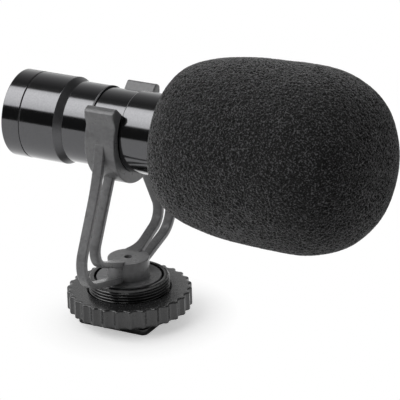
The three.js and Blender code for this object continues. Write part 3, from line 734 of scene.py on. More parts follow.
class MICROPHONE_OT_tube(bpy.types.Operator):
    """Slotted front tube and its end ring"""
    bl_idname = "microphone.tube"
    bl_label = "Front tube"

    def execute(self, context):
        sizes, barrel = context.scene.microphone_tube, context.scene.microphone_barrel
        low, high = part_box("front_tube")
        outer = half_height("front_tube")
        bore = outer - sizes.wall
        seam = end_of("housing").x + SEAM
        gloss = lacquer("tube lacquer", barrel.lacquer, (seam, seam + sizes.satin_edge, TUBE_SATIN))
        spigot = outer - barrel.wall - SLIP
        inner = spigot - sizes.wall
        step = start_of("tube_liner").x - LINER_GAP
        bm = bmesh.new()
        turned_along(bm, [
            (inner, low.x, 0), (spigot, low.x, 0), (spigot, seam, 0), (outer, seam, sizes.rear_edge),
            (outer, high.x, TUBE_FRONT_EDGE), (bore, high.x, 0), (bore, step, 0), (inner, step, 0),
        ], TUBE_STEPS)
        bm = cut(bm, slots_tool(sizes, bore, middle_height("housing")))
        evened(finished(bm, "slotted_tube", gloss, "barrel", "tube_black", "front_tube"))
        low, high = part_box("tip_ring")
        bm = bmesh.new()
        turned_along(bm, [
            (bore - sizes.lip, low.x, 0), (outer, low.x, TUBE_FRONT_EDGE), (outer, high.x, TIP_EDGE),
            (bore - sizes.lip, high.x, TIP_LIP_EDGE),
        ], TUBE_STEPS)
        evened(finished(bm, "end_ring", gloss, "barrel", "tube_black", "tip_ring"))
        return {"FINISHED"}


class MICROPHONE_OT_front_mesh(bpy.types.Operator):
    """Wire mesh at the tube's mouth"""
    bl_idname = "microphone.front_mesh"
    bl_label = "Front mesh"

    def execute(self, context):
        sizes = context.scene.microphone_tube
        low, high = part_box("front_mesh")
        radius = (high.z - low.z) / 2
        count = int(2 * radius / sizes.mesh_pitch)
        bm = bmesh.new()
        bmesh.ops.create_grid(bm, x_segments=count, y_segments=count, size=radius)
        outside = [vert for vert in bm.verts if vert.co.length > radius]
        bmesh.ops.delete(bm, geom=outside, context="VERTS")
        bmesh.ops.rotate(bm, verts=bm.verts, cent=(0, 0, 0), matrix=Matrix.Rotation(math.pi / 2, 3, "Y"))
        middle = Vector(((low.x + high.x) / 2, 0, middle_height("housing")))
        bmesh.ops.translate(bm, verts=bm.verts, vec=middle)
        metal = plating("mesh plating", record_colour("can_metal"))

        def add(work):
            wires = work.modifiers.new("Wires", "WIREFRAME")
            wires.thickness = sizes.mesh_wire
            wires.use_even_offset = False

        bm = through(bm, add)
        inner = radius - sizes.mesh_rim
        rim = bmesh.new()
        turned_along(rim, [(inner, low.x, 0), (radius, low.x, 0), (radius, high.x, 0), (inner, high.x, 0)], 96)
        rim_mesh = bpy.data.meshes.new("rim")
        rim.to_mesh(rim_mesh)
        rim.free()
        bm.from_mesh(rim_mesh)
        bpy.data.meshes.remove(rim_mesh)
        finished(bm, "front_grille", metal, "barrel", "can_metal", "front_mesh")
        return {"FINISHED"}


# Lyre mount; a lip's angles, up from the horizontal, are those of its face, edge, underside and root

LIP_ANGLES = 42.5, 33.5, 29.5, 24.0
LIP_CORNER_START = 2.6 * MM
LIP_CORNER_RUN = 1.6 * MM
INNER_START = -51.0
OUTER_BEND_SHARES = 0.36, 0.58
FLARE_ANGLE = 50
FLARE_POWER = 2.5
FLANGE_EDGE = 0.15 * MM
HUB_EDGE = 0.2 * MM
VENT_EDGE = 0.1 * MM
CLIP_SHARP = 0.7
STRAND_SHARP = 1
ELBOW_STEPS = 36
ROOT_STEPS = 12


def around(centre, radius, angle):
    """Point at an angle round a centre in the Y-Z plane"""
    return centre + radius * Vector((0, math.cos(angle), math.sin(angle)))


def arc(centre, radius, start, end, steps):
    """Points along an arc, from one angle to another"""
    return [around(centre, radius, start + (end - start) * i / steps) for i in range(steps + 1)]


def bent(first, bend, last, steps):
    """Points along a curve that leaves and arrives towards its bend"""
    return interpolate_bezier(first, first.lerp(bend, 2 / 3), last.lerp(bend, 2 / 3), last, steps)


def clip_bore(sizes):
    barrel = bpy.context.scene.microphone_barrel
    return half_height("front_tube") - barrel.seat_depth + sizes.clip_gap


def lip(sizes, middle, drop):
    """Outline of the lip on the +Y side, from its end face down to the clip's outer circle"""
    face, edge, under, root = (math.radians(angle) for angle in LIP_ANGLES)
    tip = around(middle, sizes.lip_face, face)
    crest = around(middle, sizes.lip_edge, (face + edge) / 2)
    outermost = around(middle, sizes.lip_edge, edge)
    low = around(middle, sizes.lip_under, under)
    tuck = around(drop, sizes.clip, (under + root) / 2)
    last = around(drop, sizes.clip, root)
    return bent(tip, crest, outermost, 8) + bent(low, tuck, last, 8)


def clip_section(sizes, axis):
    """Section of the clip: round bore, low-hung outer circle and two flared lips"""
    face, root = math.radians(LIP_ANGLES[0]), math.radians(LIP_ANGLES[-1])
    middle = Vector((0, 0, axis))
    drop = middle - Z * sizes.clip_drop
    right = lip(sizes, middle, drop)
    left = [Vector((0, -point.y, point.z)) for point in reversed(right)]
    bore = arc(middle, clip_bore(sizes), math.pi - face, 2 * math.pi + face, 96)
    return bore + right + arc(drop, sizes.clip, root, -math.pi - root, 96)[1:-1] + left


def clip_solid(bm, sizes, axis):
    """The clip, given its width"""
    bm.faces.new([bm.verts.new(point) for point in clip_section(sizes, axis)])
    made = bmesh.ops.extrude_face_region(bm, geom=bm.faces[:])["geom"]
    far = {item for item in made if isinstance(item, bmesh.types.BMVert)}
    for vert in bm.verts:
        vert.co.x = sizes.clip_front if vert in far else sizes.clip_rear
    bmesh.ops.recalc_face_normals(bm, faces=bm.faces)
    put_in_order(bm)
    rims = [edge for edge in bm.edges if edge.is_convex and edge.calc_face_angle() > CLIP_SHARP]
    bmesh.ops.bevel(bm, geom=rims, offset=sizes.clip_edge, offset_type="OFFSET", segments=3, profile=0.5,
                    affect="EDGES", clamp_overlap=True, material=-1)
    put_in_order(bm)
    bmesh.ops.triangulate(bm, faces=[face for face in bm.faces if len(face.verts) > 4])
    bmesh.ops.recalc_face_normals(bm, faces=bm.faces)


def tangent_angle(point, centre, radius, side):
    """Angle round an elbow at which a straight line from a point runs on to it"""
    to_point = point - centre
    return math.atan2(to_point.z, to_point.y) + side * math.acos(radius / to_point.length)


def section_loop(bm, sizes, point, heading):
    """Loop of a strand's section at a point, square to its heading"""
    bm_loop = bmesh.ops.create_grid(bm, x_segments=1, y_segments=1, size=0.5)["verts"]
    bmesh.ops.scale(bm, verts=bm_loop, vec=(sizes.strand_width, sizes.strand_thickness, 1))
    faces = unique(face for vert in bm_loop for face in vert.link_faces)
    bmesh.ops.delete(bm, geom=faces, context="FACES_ONLY")
    turn = Matrix.Rotation(math.atan2(heading.z, heading.y) - math.pi / 2, 3, "X")
    bmesh.ops.rotate(bm, verts=bm_loop, cent=(0, 0, 0), matrix=turn)
    bmesh.ops.translate(bm, verts=bm_loop, vec=point)
    return unique(edge for vert in bm_loop for edge in vert.link_edges)


def strand(bm, sizes, points, centre, radius, root):
    """A strand through the given points, round the elbow and in to its root"""
    top = points[-1]
    onto = tangent_angle(top, centre, radius, -1)
    off = tangent_angle(root, centre, radius, 1)
    start = around(centre, radius, onto)
    end = around(centre, radius, off)
    path = [*points, start]
    loop = section_loop(bm, sizes, path[0], path[1] - path[0])
    runs = [second - first for first, second in zip(path, path[1:])]
    into_elbow = Vector((0, math.sin(onto), -math.cos(onto)))
    for i, (run, following) in enumerate(zip(runs, runs[1:] + [into_elbow])):
        loop = slid(bm, loop, run)
        bend = math.atan2(following.z, following.y) - math.atan2(run.z, run.y)
        bend = (bend + math.pi) % (2 * math.pi) - math.pi
        verts = unique(vert for edge in loop for vert in edge.verts)
        bmesh.ops.rotate(bm, verts=verts, cent=path[i + 1], matrix=Matrix.Rotation(bend, 3, "X"))
    sweep = (off - onto) % (2 * math.pi) - 2 * math.pi
    loop = swung(bm, loop, centre, sweep, ELBOW_STEPS)
    for _ in range(ROOT_STEPS):
        loop = slid(bm, loop, (root - end) / ROOT_STEPS)
    rims = [edge for edge in bm.edges if edge.is_boundary]
    bmesh.ops.holes_fill(bm, edges=rims, sides=0)
    bmesh.ops.recalc_face_normals(bm, faces=bm.faces)
    put_in_order(bm)
    sharp = [edge for edge in bm.edges if edge.calc_face_angle() > STRAND_SHARP]
    bmesh.ops.bevel(bm, geom=sharp, offset=sizes.strand_edge, offset_type="OFFSET", segments=3, profile=0.5,
                    affect="EDGES", clamp_overlap=True, material=-1)


def outer_strand(bm, sizes, axis):
    """Off the clip's side in a slow curve, then straight to the elbow and into the flange"""
    side = sizes.clip - sizes.strand_thickness / 2
    first = Vector((0, side, axis))
    last = Vector((0, sizes.shoulder_reach, sizes.shoulder_height))
    out, down = OUTER_BEND_SHARES
    bend = Vector((0, side + out * (last.y - side), axis - down * (axis - last.z)))
    points = bent(first, bend, last, 12)
    root = Vector((0, sizes.hub - sizes.strand_thickness, sizes.flange_top + sizes.root_rise))
    centre = Vector((0, sizes.outer_reach, sizes.outer_height))
    strand(bm, sizes, points, centre, sizes.outer_radius, root)


def root_width(sizes, reach):
    """How much wider the inner strand's root is at a distance from the hub's axis, as it runs on into the rim"""
    angle = math.radians(FLARE_ANGLE)
    leave_y, leave_x = sizes.hub * math.sin(angle), sizes.hub * math.cos(angle)
    half = sizes.strand_width / 2
    tangent = (leave_x - half) / math.sin(angle)
    end = leave_y + tangent * math.cos(angle) + tangent
    share = min(1.0, max(0.0, (end - reach) / (end - leave_y)))
    return (half + (leave_x - half) * share ** FLARE_POWER) / half


def inner_root(sizes):
    """Middle of the inner strand's end inside the hub, and the middle of its elbow"""
    root = Vector((0, sizes.hub - sizes.strand_thickness, sizes.hub_top - sizes.strand_thickness / 2))
    return root, Vector((0, sizes.inner_reach, sizes.inner_height))


def flared(bm, sizes):
    """Widens the rear side of what lies below the inner elbow towards the hub"""
    for vert in bm.verts:
        if vert.co.z < sizes.inner_height and vert.co.x < 0:
            vert.co.x *= root_width(sizes, vert.co.y)


def inner_strand(bm, sizes, axis):
    """Off the underside of the clip, straight to the elbow and into the hub's top"""
    first = around(Vector((0, 0, axis)), (clip_bore(sizes) + sizes.clip) / 2, math.radians(INNER_START))
    root, centre = inner_root(sizes)
    strand(bm, sizes, [first], centre, sizes.inner_radius, root)
    flared(bm, sizes)


def web(bm, sizes, axis):
    """Curved web on an inner strand's root"""
    root, centre = inner_root(sizes)
    off = tangent_angle(root, centre, sizes.inner_radius, 1)
    out = (around(centre, sizes.inner_radius, off) - root).normalized()
    half = sizes.strand_thickness / 2
    above = Vector((0, -out.z, out.y)) * half
    corner = root + above
    corner += out * (sizes.hub_top - corner.z) / out.z
    start = corner + out * sizes.fillet
    end = corner - Y * sizes.fillet
    outline = bent(start, corner, end, 10) + [end - Z * half, root, start - above]
    width = sizes.strand_width - 2 * sizes.strand_edge
    face = bm.faces.new([bm.verts.new(point - X * width / 2) for point in outline])
    made = bmesh.ops.extrude_face_region(bm, geom=[face])["geom"]
    far = [item for item in made if isinstance(item, bmesh.types.BMVert)]
    bmesh.ops.translate(bm, verts=far, vec=X * width)
    flared(bm, sizes)


def eased_lips(bm, sizes, axis):
    """Rounds the corners of the lips, seen from above, by narrowing them towards their edge"""
    reach = max(vert.co.y for vert in bm.verts if vert.co.z > axis)
    middle, half = (sizes.clip_front + sizes.clip_rear) / 2, (sizes.clip_front - sizes.clip_rear) / 2
    for vert in bm.verts:
        past = abs(vert.co.y) - (reach - sizes.lip_corner)
        rise = (vert.co.z - axis - LIP_CORNER_START) / LIP_CORNER_RUN
        if past <= 0 or rise <= 0:
            continue
        past = min(past, sizes.lip_corner)
        drop = sizes.lip_corner - math.sqrt(sizes.lip_corner ** 2 - past ** 2)
        vert.co.x -= (vert.co.x - middle) * min(rise, 1.0) * drop / half


class MICROPHONE_OT_mount(bpy.types.Operator):
    """Lyre mount: clip, four strands, hub and flange as one moulding"""
    bl_idname = "microphone.mount"
    bl_label = "Lyre mount"

    def execute(self, context):
        sizes = context.scene.microphone_mount
        axis = middle_height("housing")
        floor = start_of("lyre_mount").z
        body = bmesh.new()
        turned_up(body, [
            (sizes.screw_room, floor, 0), (sizes.flange, floor, 0), (sizes.flange, sizes.flange_top, FLANGE_EDGE),
            (sizes.hub, sizes.flange_top, 0), (sizes.hub, sizes.hub_top, HUB_EDGE),
            (sizes.vent, sizes.hub_top, VENT_EDGE), (sizes.vent, sizes.vent_floor, 0),
            (sizes.screw_room, sizes.vent_floor, 0),
        ], 128)
        clip = bmesh.new()
        clip_solid(clip, sizes, axis)
        eased_lips(clip, sizes, axis)
        body = combined(body, clip, "UNION")
        for add_part in (outer_strand, inner_strand, web):
            for side in (1, -1):
                arm = bmesh.new()
                add_part(arm, sizes, axis)
                bmesh.ops.scale(arm, verts=arm.verts, vec=(1, side, 1))
                bmesh.ops.recalc_face_normals(arm, faces=arm.faces)
                body = combined(body, arm, "UNION")
        plastic = moulded("mount moulding", sizes.moulding)
        evened(finished(body, "lyre", plastic, "mount", "mount_grey", "lyre_mount"))
        return {"FINISHED"}


# Foot, collar, washer and wheel

STEM_EDGE = 0.15 * MM
SCREW_HEAD_EDGE = 0.08 * MM
SCREW_TIP = 0.5 * MM
SCREW_TIP_STEP = 0.45 * MM
KEY_RADIUS = 1.1 * MM
KEY_DEPTH = 2.4 * MM


class MICROPHONE_OT_foot(bpy.types.Operator):
    """Foot plate with its stem, and the screw in it"""
    bl_idname = "microphone.foot"
    bl_label = "Foot"

    def execute(self, context):
        sizes = context.scene.microphone_foot
        low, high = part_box("shoe_foot")
        side = high.x - low.x
        bm = bmesh.new()
        bmesh.ops.create_cube(bm, size=1)
        bmesh.ops.scale(bm, verts=bm.verts, vec=(side, side, sizes.plate))
        bmesh.ops.translate(bm, verts=bm.verts, vec=(0, 0, sizes.plate / 2))
        upright = [edge for edge in bm.edges if abs(edge.verts[0].co.z - edge.verts[1].co.z) > TINY]
        bmesh.ops.bevel(bm, geom=upright, offset=sizes.corner, offset_type="OFFSET", segments=12, profile=0.5,
                        affect="EDGES", clamp_overlap=True, material=-1)
        put_in_order(bm)
        rims = [edge for edge in bm.edges if abs(edge.verts[0].co.z - edge.verts[1].co.z) < TINY]
        bmesh.ops.bevel(bm, geom=rims, offset=sizes.plate_edge, offset_type="OFFSET", segments=4, profile=0.5,
                        affect="EDGES", clamp_overlap=True, material=-1)
        stem = bmesh.new()
        turned_up(stem, [(0, sizes.plate / 2, 0), (sizes.stem, sizes.plate / 2, 0), (sizes.stem, high.z, STEM_EDGE),
                         (0, high.z, 0)], 96)
        bm = combined(bm, stem, "UNION")
        cone = sizes.screw_head - sizes.screw
        tool = bmesh.new()
        turned_up(tool, [
            (0, -MM, 0), (sizes.screw_head + SLIP, -MM, 0), (sizes.screw_head + SLIP, 0, 0),
            (sizes.screw + SLIP, cone, 0), (sizes.screw + SLIP, 2 * high.z, 0), (0, 2 * high.z, 0),
        ], 64)
        bm = cut(bm, tool)
        satin = satin_metal("foot finish", sizes.satin)
        evened(finished(bm, "foot_plate", satin, "mount", "foot_black", "shoe_foot"))
        top = end_of("hub_screw").z
        bm = bmesh.new()
        turned_up(bm, [
            (0, 0, 0), (sizes.screw_head, 0, SCREW_HEAD_EDGE), (sizes.screw, cone, 0),
            (sizes.screw, top - SCREW_TIP, 0), (sizes.screw - SCREW_TIP_STEP, top, 0), (0, top, 0),
        ], 64)
        key = bmesh.new()
        bmesh.ops.create_cone(key, cap_ends=True, segments=6, radius1=KEY_RADIUS, radius2=KEY_RADIUS,
                              depth=KEY_DEPTH)
        bm = cut(bm, key)
        metal = plating("screw plating", record_colour("plated"))
        evened(finished(bm, "countersunk_screw", metal, "mount", "plated", "hub_screw"))
        return {"FINISHED"}


# The thread's section as shares of its pitch, from its lower foot over its shoulders to its upper foot

THREAD_SHARES = -0.46, -0.24, -0.1, 0.1, 0.24, 0.46
THREAD_STEPS = 96
THREAD_ENDS = 1.5
THREAD_START = 0.55
THREAD_ROOT = 0.1 * MM
THREAD_SHOULDER = 0.08 * MM
COLLAR_FOOT_EDGE = 0.1 * MM
COLLAR_RIM_EDGE = 0.12 * MM
CUP_EDGE = 0.1 * MM


class MICROPHONE_OT_collar(bpy.types.Operator):
    """Threaded collar with the cup for the mount's flange"""
    bl_idname = "microphone.collar"
    bl_label = "Collar"

    def execute(self, context):
        sizes = context.scene.microphone_foot
        low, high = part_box("threaded_collar")
        outer = (high.x - low.x) / 2
        root = outer - sizes.thread
        floor = high.z - sizes.cup_depth
        hole = sizes.screw + SLIP
        bm = bmesh.new()
        turned_up(bm, [
            (hole, low.z, 0), (root, low.z, COLLAR_FOOT_EDGE), (root, high.z, COLLAR_RIM_EDGE),
            (sizes.cup, high.z, CUP_EDGE), (sizes.cup, floor, 0), (hole, floor, 0),
        ], 144)
        turns = (high.z - low.z) / sizes.pitch - THREAD_ENDS
        first = high.z - (turns + THREAD_START) * sizes.pitch
        under = root - THREAD_ROOT
        shoulder = outer - THREAD_SHOULDER
        radii = under, shoulder, outer, outer, shoulder, under
        ridge = [bm.verts.new((radius, 0, first + share * sizes.pitch))
                 for radius, share in zip(radii, THREAD_SHARES)]
        edges = [bm.edges.new(pair) for pair in zip(ridge, ridge[1:] + ridge[:1])]
        before = set(bm.faces)
        bmesh.ops.spin(bm, geom=ridge + edges, axis=Z, cent=(0, 0, 0), dvec=(0, 0, sizes.pitch / THREAD_STEPS),
                       angle=turns * 2 * math.pi, steps=int(turns * THREAD_STEPS))
        ends = [edge for edge in bm.edges if edge.is_boundary]
        bmesh.ops.holes_fill(bm, edges=ends, sides=0)
        bmesh.ops.recalc_face_normals(bm, faces=[face for face in bm.faces if face not in before])
        put_in_order(bm)
        satin = satin_metal("collar finish", sizes.satin)
        evened(finished(bm, "collar_thread", satin, "mount", "foot_black", "threaded_collar", sharp=45))
        return {"FINISHED"}


# A flute fills FLUTE_SHARE of its pitch. It runs in from the rim by FLUTE_REACH and is at full depth FLUTE_RUN
# further out. The wheel's top has rings of points at TOP_RINGS from the rim, so that it can follow the flutes.

FLUTE_STEPS = 14
FLUTE_SHARE = 0.82
FLUTE_REACH = 2 * MM
FLUTE_RUN = 1.4 * MM
TOP_RINGS = 1.1 * MM, 2.2 * MM
WHEEL_HOLE_EDGE = 0.1 * MM
WHEEL_BORE_EDGE = 0.08 * MM
WASHER_GAP = 0.1 * MM
WASHER_EDGE = 0.15 * MM


class MICROPHONE_OT_wheel(bpy.types.Operator):
    """Fluted clamp wheel and the washer below it"""
    bl_idname = "microphone.wheel"
    bl_label = "Clamp wheel"

    def execute(self, context):
        sizes = context.scene.microphone_foot
        low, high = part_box("clamp_wheel")
        outer = (high.y - low.y) / 2
        bevel = sizes.wheel_edge
        ledge = low.z + sizes.wheel_flange
        bm = bmesh.new()
        turned_up(bm, [
            (sizes.wheel_hole, low.z, WHEEL_HOLE_EDGE), (outer, low.z, bevel), (outer, high.z, bevel),
            *((outer - ring, high.z, 0) for ring in TOP_RINGS),
            (sizes.wheel_bore + bevel, high.z, WHEEL_BORE_EDGE),
            (sizes.wheel_bore, high.z - bevel, WHEEL_BORE_EDGE),
            (sizes.wheel_bore, ledge, 0), (sizes.wheel_hole, ledge, WHEEL_HOLE_EDGE),
        ], sizes.flutes * FLUTE_STEPS)
        pitch = 2 * math.pi / sizes.flutes
        for vert in bm.verts:
            flat = vert.co.to_2d()
            share = min(1.0, max(0.0, (flat.length - outer + FLUTE_REACH) / FLUTE_RUN))
            if share == 0:
                continue
            local = abs((math.atan2(flat.y, flat.x) / pitch) % 1 - 0.5) * 2
            depth = sizes.flute_depth * max(0.0, 1 - (local / FLUTE_SHARE) ** 2) * share
            flat *= (flat.length - depth) / flat.length
            vert.co.x, vert.co.y = flat
        finish = matt_metal("wheel finish", sizes.wheel)
        evened(finished(bm, "fluted_wheel", finish, "wheel", "wheel_black", "clamp_wheel", sharp=28))
        low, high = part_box("clamp_washer")
        bm = bmesh.new()
        turned_up(bm, [
            (sizes.stem + WASHER_GAP, low.z, 0), (high.x, low.z, WASHER_EDGE), (high.x, high.z, WASHER_EDGE),
            (sizes.stem + WASHER_GAP, high.z, 0),
        ], 96)
        plastic = moulded("washer plastic", record_colour("moulded_black"))
        evened(finished(bm, "washer_ring", plastic, "washer", "moulded_black", "clamp_washer"))
        return {"FINISHED"}


# Windscreen; the seed fixes the warp of the foam's cells, which would otherwise change from run to run

FOAM_SEED = 7
SKIN_SHARES = 0.69, 0.75, 0.73, 0.55
SKIN_STEPS = 120
WARP_SCALE = 1.7
WARP = 0.35
PIT_CONTRAST = 1.5
SWELL_SIZE = 6 * MM
SWELL_HEIGHT = 0.12 * MM
PROUD = 0.08 * MM
BORE_RELIEF_SHARE = 0.3
BORE_REACH = 0.3 * MM
BORE_END_REACH = 0.2 * MM


def spread(points, spacing):
    """The same curve with points at an even spacing"""
    total = sum((b - a).length for a, b in zip(points, points[1:]))
    count = max(2, round(total / spacing))
    made, passed, i = [points[0]], 0.0, 0
    for k in range(1, count):
        target = total * k / count
        while passed + (points[i + 1] - points[i]).length < target:
            passed += (points[i + 1] - points[i]).length
            i += 1
        step = (points[i + 1] - points[i]).length
        made.append(points[i].lerp(points[i + 1], (target - passed) / step))
    return made + [points[-1]]


def foam_outline(sizes, rear, front):
    """Skin of the windscreen from the mouth to the nose, as points along X with their radius in Z"""
    at_mouth, behind, ahead_of, at_tip = SKIN_SHARES
    tail, nose = sizes.widest - rear, front - sizes.widest
    mouth = Vector((rear, 0, sizes.mouth))
    widest = Vector((sizes.widest, 0, sizes.radius))
    tip = Vector((front, 0, 0))
    back = interpolate_bezier(mouth, mouth + Z * at_mouth * (sizes.radius - sizes.mouth),
                              widest - X * behind * tail, widest, SKIN_STEPS)
    ahead = interpolate_bezier(widest, widest + X * ahead_of * nose, tip + Z * at_tip * sizes.radius, tip,
                               SKIN_STEPS)
    return spread(back + ahead[1:], sizes.spacing)


def roughened(bm, sizes, axis):
    """Sinks the foam's surface in cells and keeps how deep each point lies"""
    noise.seed_set(FOAM_SEED)
    # The depth kept here is what the foam's material darkens as painted shade in the pits
    pit = bm.verts.layers.float.new("pit")
    bm.normal_update()
    moves = []
    for vert in bm.verts:
        point = vert.co / sizes.cell
        near, next_near = noise.voronoi(point + noise.noise_vector(point * WARP_SCALE) * WARP)[0][:2]
        depth = min(1.0, max(0.0, (next_near - near) * PIT_CONTRAST))
        swell = noise.noise(vert.co / SWELL_SIZE) * SWELL_HEIGHT
        vert[pit] = depth
        moves.append((vert, vert.normal * (swell + PROUD - depth * sizes.relief)))
    for vert, move in moves:
        arm = (vert.co - Vector((0, 0, axis))).yz.length
        inside = arm < sizes.bore + BORE_REACH and vert.co.x < sizes.bore_front + BORE_END_REACH
        vert.co += move * (BORE_RELIEF_SHARE if inside else 1.0)


class MICROPHONE_OT_windscreen(bpy.types.Operator):
    """Foam windscreen with its blind bore"""
    bl_idname = "microphone.windscreen"
    bl_label = "Windscreen"

    def execute(self, context):
        sizes = context.scene.microphone_foam
        low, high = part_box("foam_windscreen")
        axis = middle_height("housing")
        skin = foam_outline(sizes, low.x, high.x)
        bevel = (sizes.mouth - sizes.bore) / 2
        inside = [Vector((sizes.bore_front, 0, 0)), Vector((sizes.bore_front, 0, sizes.bore)),
                  Vector((low.x + bevel, 0, sizes.bore)), Vector((low.x, 0, sizes.bore + bevel)), skin[0]]
        bore = []
        for first, second in zip(inside, inside[1:]):
            bore += spread([first, second], sizes.spacing * 2)[:-1]
        bm = bmesh.new()
        corners = [(point.z, point.x, 0) for point in bore + skin]
        turned_along(bm, corners, 8 * round(2 * math.pi * sizes.radius / sizes.spacing / 8))
        roughened(bm, sizes, axis)
        foam = finished(bm, "foam", open_cell("windscreen foam", sizes.foam), "windscreen", "foam",
                        "foam_windscreen", sharp=180)
        return {"FINISHED"}


# Finishes of the inner pieces, whose own shapes are kept

class MICROPHONE_OT_inner_finishes(bpy.types.Operator):
    """Finishes of liner, capsule, board and wires"""
    bl_idname = "microphone.inner_finishes"
    bl_label = "Inner finishes"

    def execute(self, context):
        makers = {
            "cloth": acoustic_cloth, "can_metal": plating, "rubber_black": rubber, "moulded_black": moulded,
            "plated": plating, "board": solder_mask, "wire_red": moulded, "wire_white": moulded,
        }
        made = {}
        for entry in frame["record"]["subparts"]:
            node, slot = frame["nodes"][entry["node"]], entry["material_slot"]
            if node.hide_render:
                continue
            if slot not in made:
                made[slot] = makers[slot](f"{slot} finish", record_colour(slot))
            node.data.materials.clear()
            node.data.materials.append(made[slot])
        return {"FINISHED"}


# Stage; the room's levels are shares of the bright panel's, at shares of the half turn over the object

ROOM_LEVELS = (
    (0.0, 0.011), (0.175, 0.011), (0.195, 0.76), (0.3, 1.0), (0.42, 1.08), (0.475, 0.9), (0.5, 0.045),
    (0.58, 0.03), (0.66, 0.052), (0.75, 0.09), (0.86, 0.14), (1.0, 0.18),
)
ROOM_SIDE = 0.014
ROOM_END = 0.17
ROOM_HALF_LENGTH = 1.3
ROOM_RADIUS = 0.8
FLOOR_HALF_SIDE = 3
FLOOR_DROP = 0.02 * MM
FLOOR_NEAR = 0.014
FLOOR_FAR = 0.026
FLOOR_FAR_IN_GLOSS = 0.022
LAMP_PLACE = -0.42, -0.38, 0.48
LAMP_SIZE = 1.0, 0.7
LAMP_TARGET = 0.01, 0, 0.02
CAMERA_TARGET = 19.61 * MM, 0, 32.88 * MM


def stepped(tree, value, *stops):
    """A grey that follows the value through its stops, each a place from 0 to 1 and a level"""
    node = tree.nodes.new("ShaderNodeValToRGB")
    ramp = node.color_ramp
    for element, (place, level) in zip(ramp.elements, (stops[0], stops[-1])):
        element.position = place
        element.color = (level, level, level, 1)
    for place, level in stops[1:-1]:
        ramp.elements.new(place).color = (level, level, level, 1)
    tree.links.new(value, node.inputs["Fac"])
    return node.outputs["Color"]


def make_room(studio):
    """The room that gloss reflects: a curved wall from the floor in front, over the object and down behind.
    It has a bright panel in front and above, dark beside that, and grows pale towards the back."""
    bm = bmesh.new()
    start = bm.verts.new((-ROOM_HALF_LENGTH, -ROOM_RADIUS, 0))
    end = bm.verts.new((ROOM_HALF_LENGTH, -ROOM_RADIUS, 0))
    edge = bm.edges.new((start, end))
    bmesh.ops.spin(bm, geom=[start, end, edge], cent=(0, 0, 0), axis=X, angle=-math.pi, steps=64)
    wall = solid_object(bm, "room")
    for flag in ("visible_camera", "visible_diffuse", "visible_shadow", "visible_transmission"):
        setattr(wall, flag, False)
    material = bpy.data.materials.new("room light")
    material.use_nodes = True
    tree = material.node_tree
    tree.nodes.clear()
    place = tree.nodes.new("ShaderNodeTexCoord").outputs["Object"]
    split = tree.nodes.new("ShaderNodeSeparateXYZ")
    tree.links.new(place, split.inputs[0])
    forward = calculated(tree, "MULTIPLY", split.outputs["Y"], -1.0)
    height = calculated(tree, "SUBTRACT", split.outputs["Z"], middle_height("housing"))
    turn = calculated(tree, "DIVIDE", calculated(tree, "ARCTAN2", height, forward), math.pi)
    arch = stepped(tree, turn, *ROOM_LEVELS)
    side = ranged(tree, split.outputs["X"], 1.0, 0.0, -0.02, 0.06)
    far = ranged(tree, split.outputs["X"], 1.0, 0.0, -0.8, -0.66)
    lit = calculated(tree, "MULTIPLY", arch, side)
    glow = tree.nodes.new("ShaderNodeEmission")
    dim = calculated(tree, "MULTIPLY", calculated(tree, "SUBTRACT", 1.0, side), ROOM_SIDE)
    level = calculated(tree, "ADD", lit, dim)
    pale = calculated(tree, "MULTIPLY", far, ROOM_END)
    tree.links.new(calculated(tree, "MULTIPLY", calculated(tree, "MAXIMUM", level, pale), studio.panel),
                   glow.inputs["Strength"])
    tree.links.new(glow.outputs[0], tree.nodes.new("ShaderNodeOutputMaterial").inputs["Surface"])
    wall.data.materials.append(material)


def any_ray(tree, *names):
    """One for a ray of any of the given kinds, otherwise nought"""
    path = tree.nodes.new("ShaderNodeLightPath")
    total = path.outputs[names[0]]
    for name in names[1:]:
        total = calculated(tree, "MAXIMUM", total, path.outputs[name])
    return total


def make_world(studio):
    """White behind the object and in its gloss, and softer light from the backdrop's side"""
    world = bpy.data.worlds.new("studio")
    bpy.context.scene.world = world
    world.use_nodes = True
    tree = world.node_tree
    light = tree.nodes["Background"]
    light.inputs["Color"].default_value = (1, 1, 1, 1)
    seen = any_ray(tree, "Is Camera Ray", "Is Glossy Ray", "Is Transmission Ray")
    towards = tree.nodes.new("ShaderNodeVectorMath")
    towards.operation = "DOT_PRODUCT"
    tree.links.new(tree.nodes.new("ShaderNodeTexCoord").outputs["Generated"], towards.inputs[0])
    towards.inputs[1].default_value = (-math.sin(studio.backdrop_turn), math.cos(studio.backdrop_turn), 0)
    around_object = ranged(tree, towards.outputs["Value"], studio.fill, studio.backdrop, -0.2, 0.8)
    tree.links.new(calculated(tree, "MAXIMUM", seen, around_object), light.inputs["Strength"])


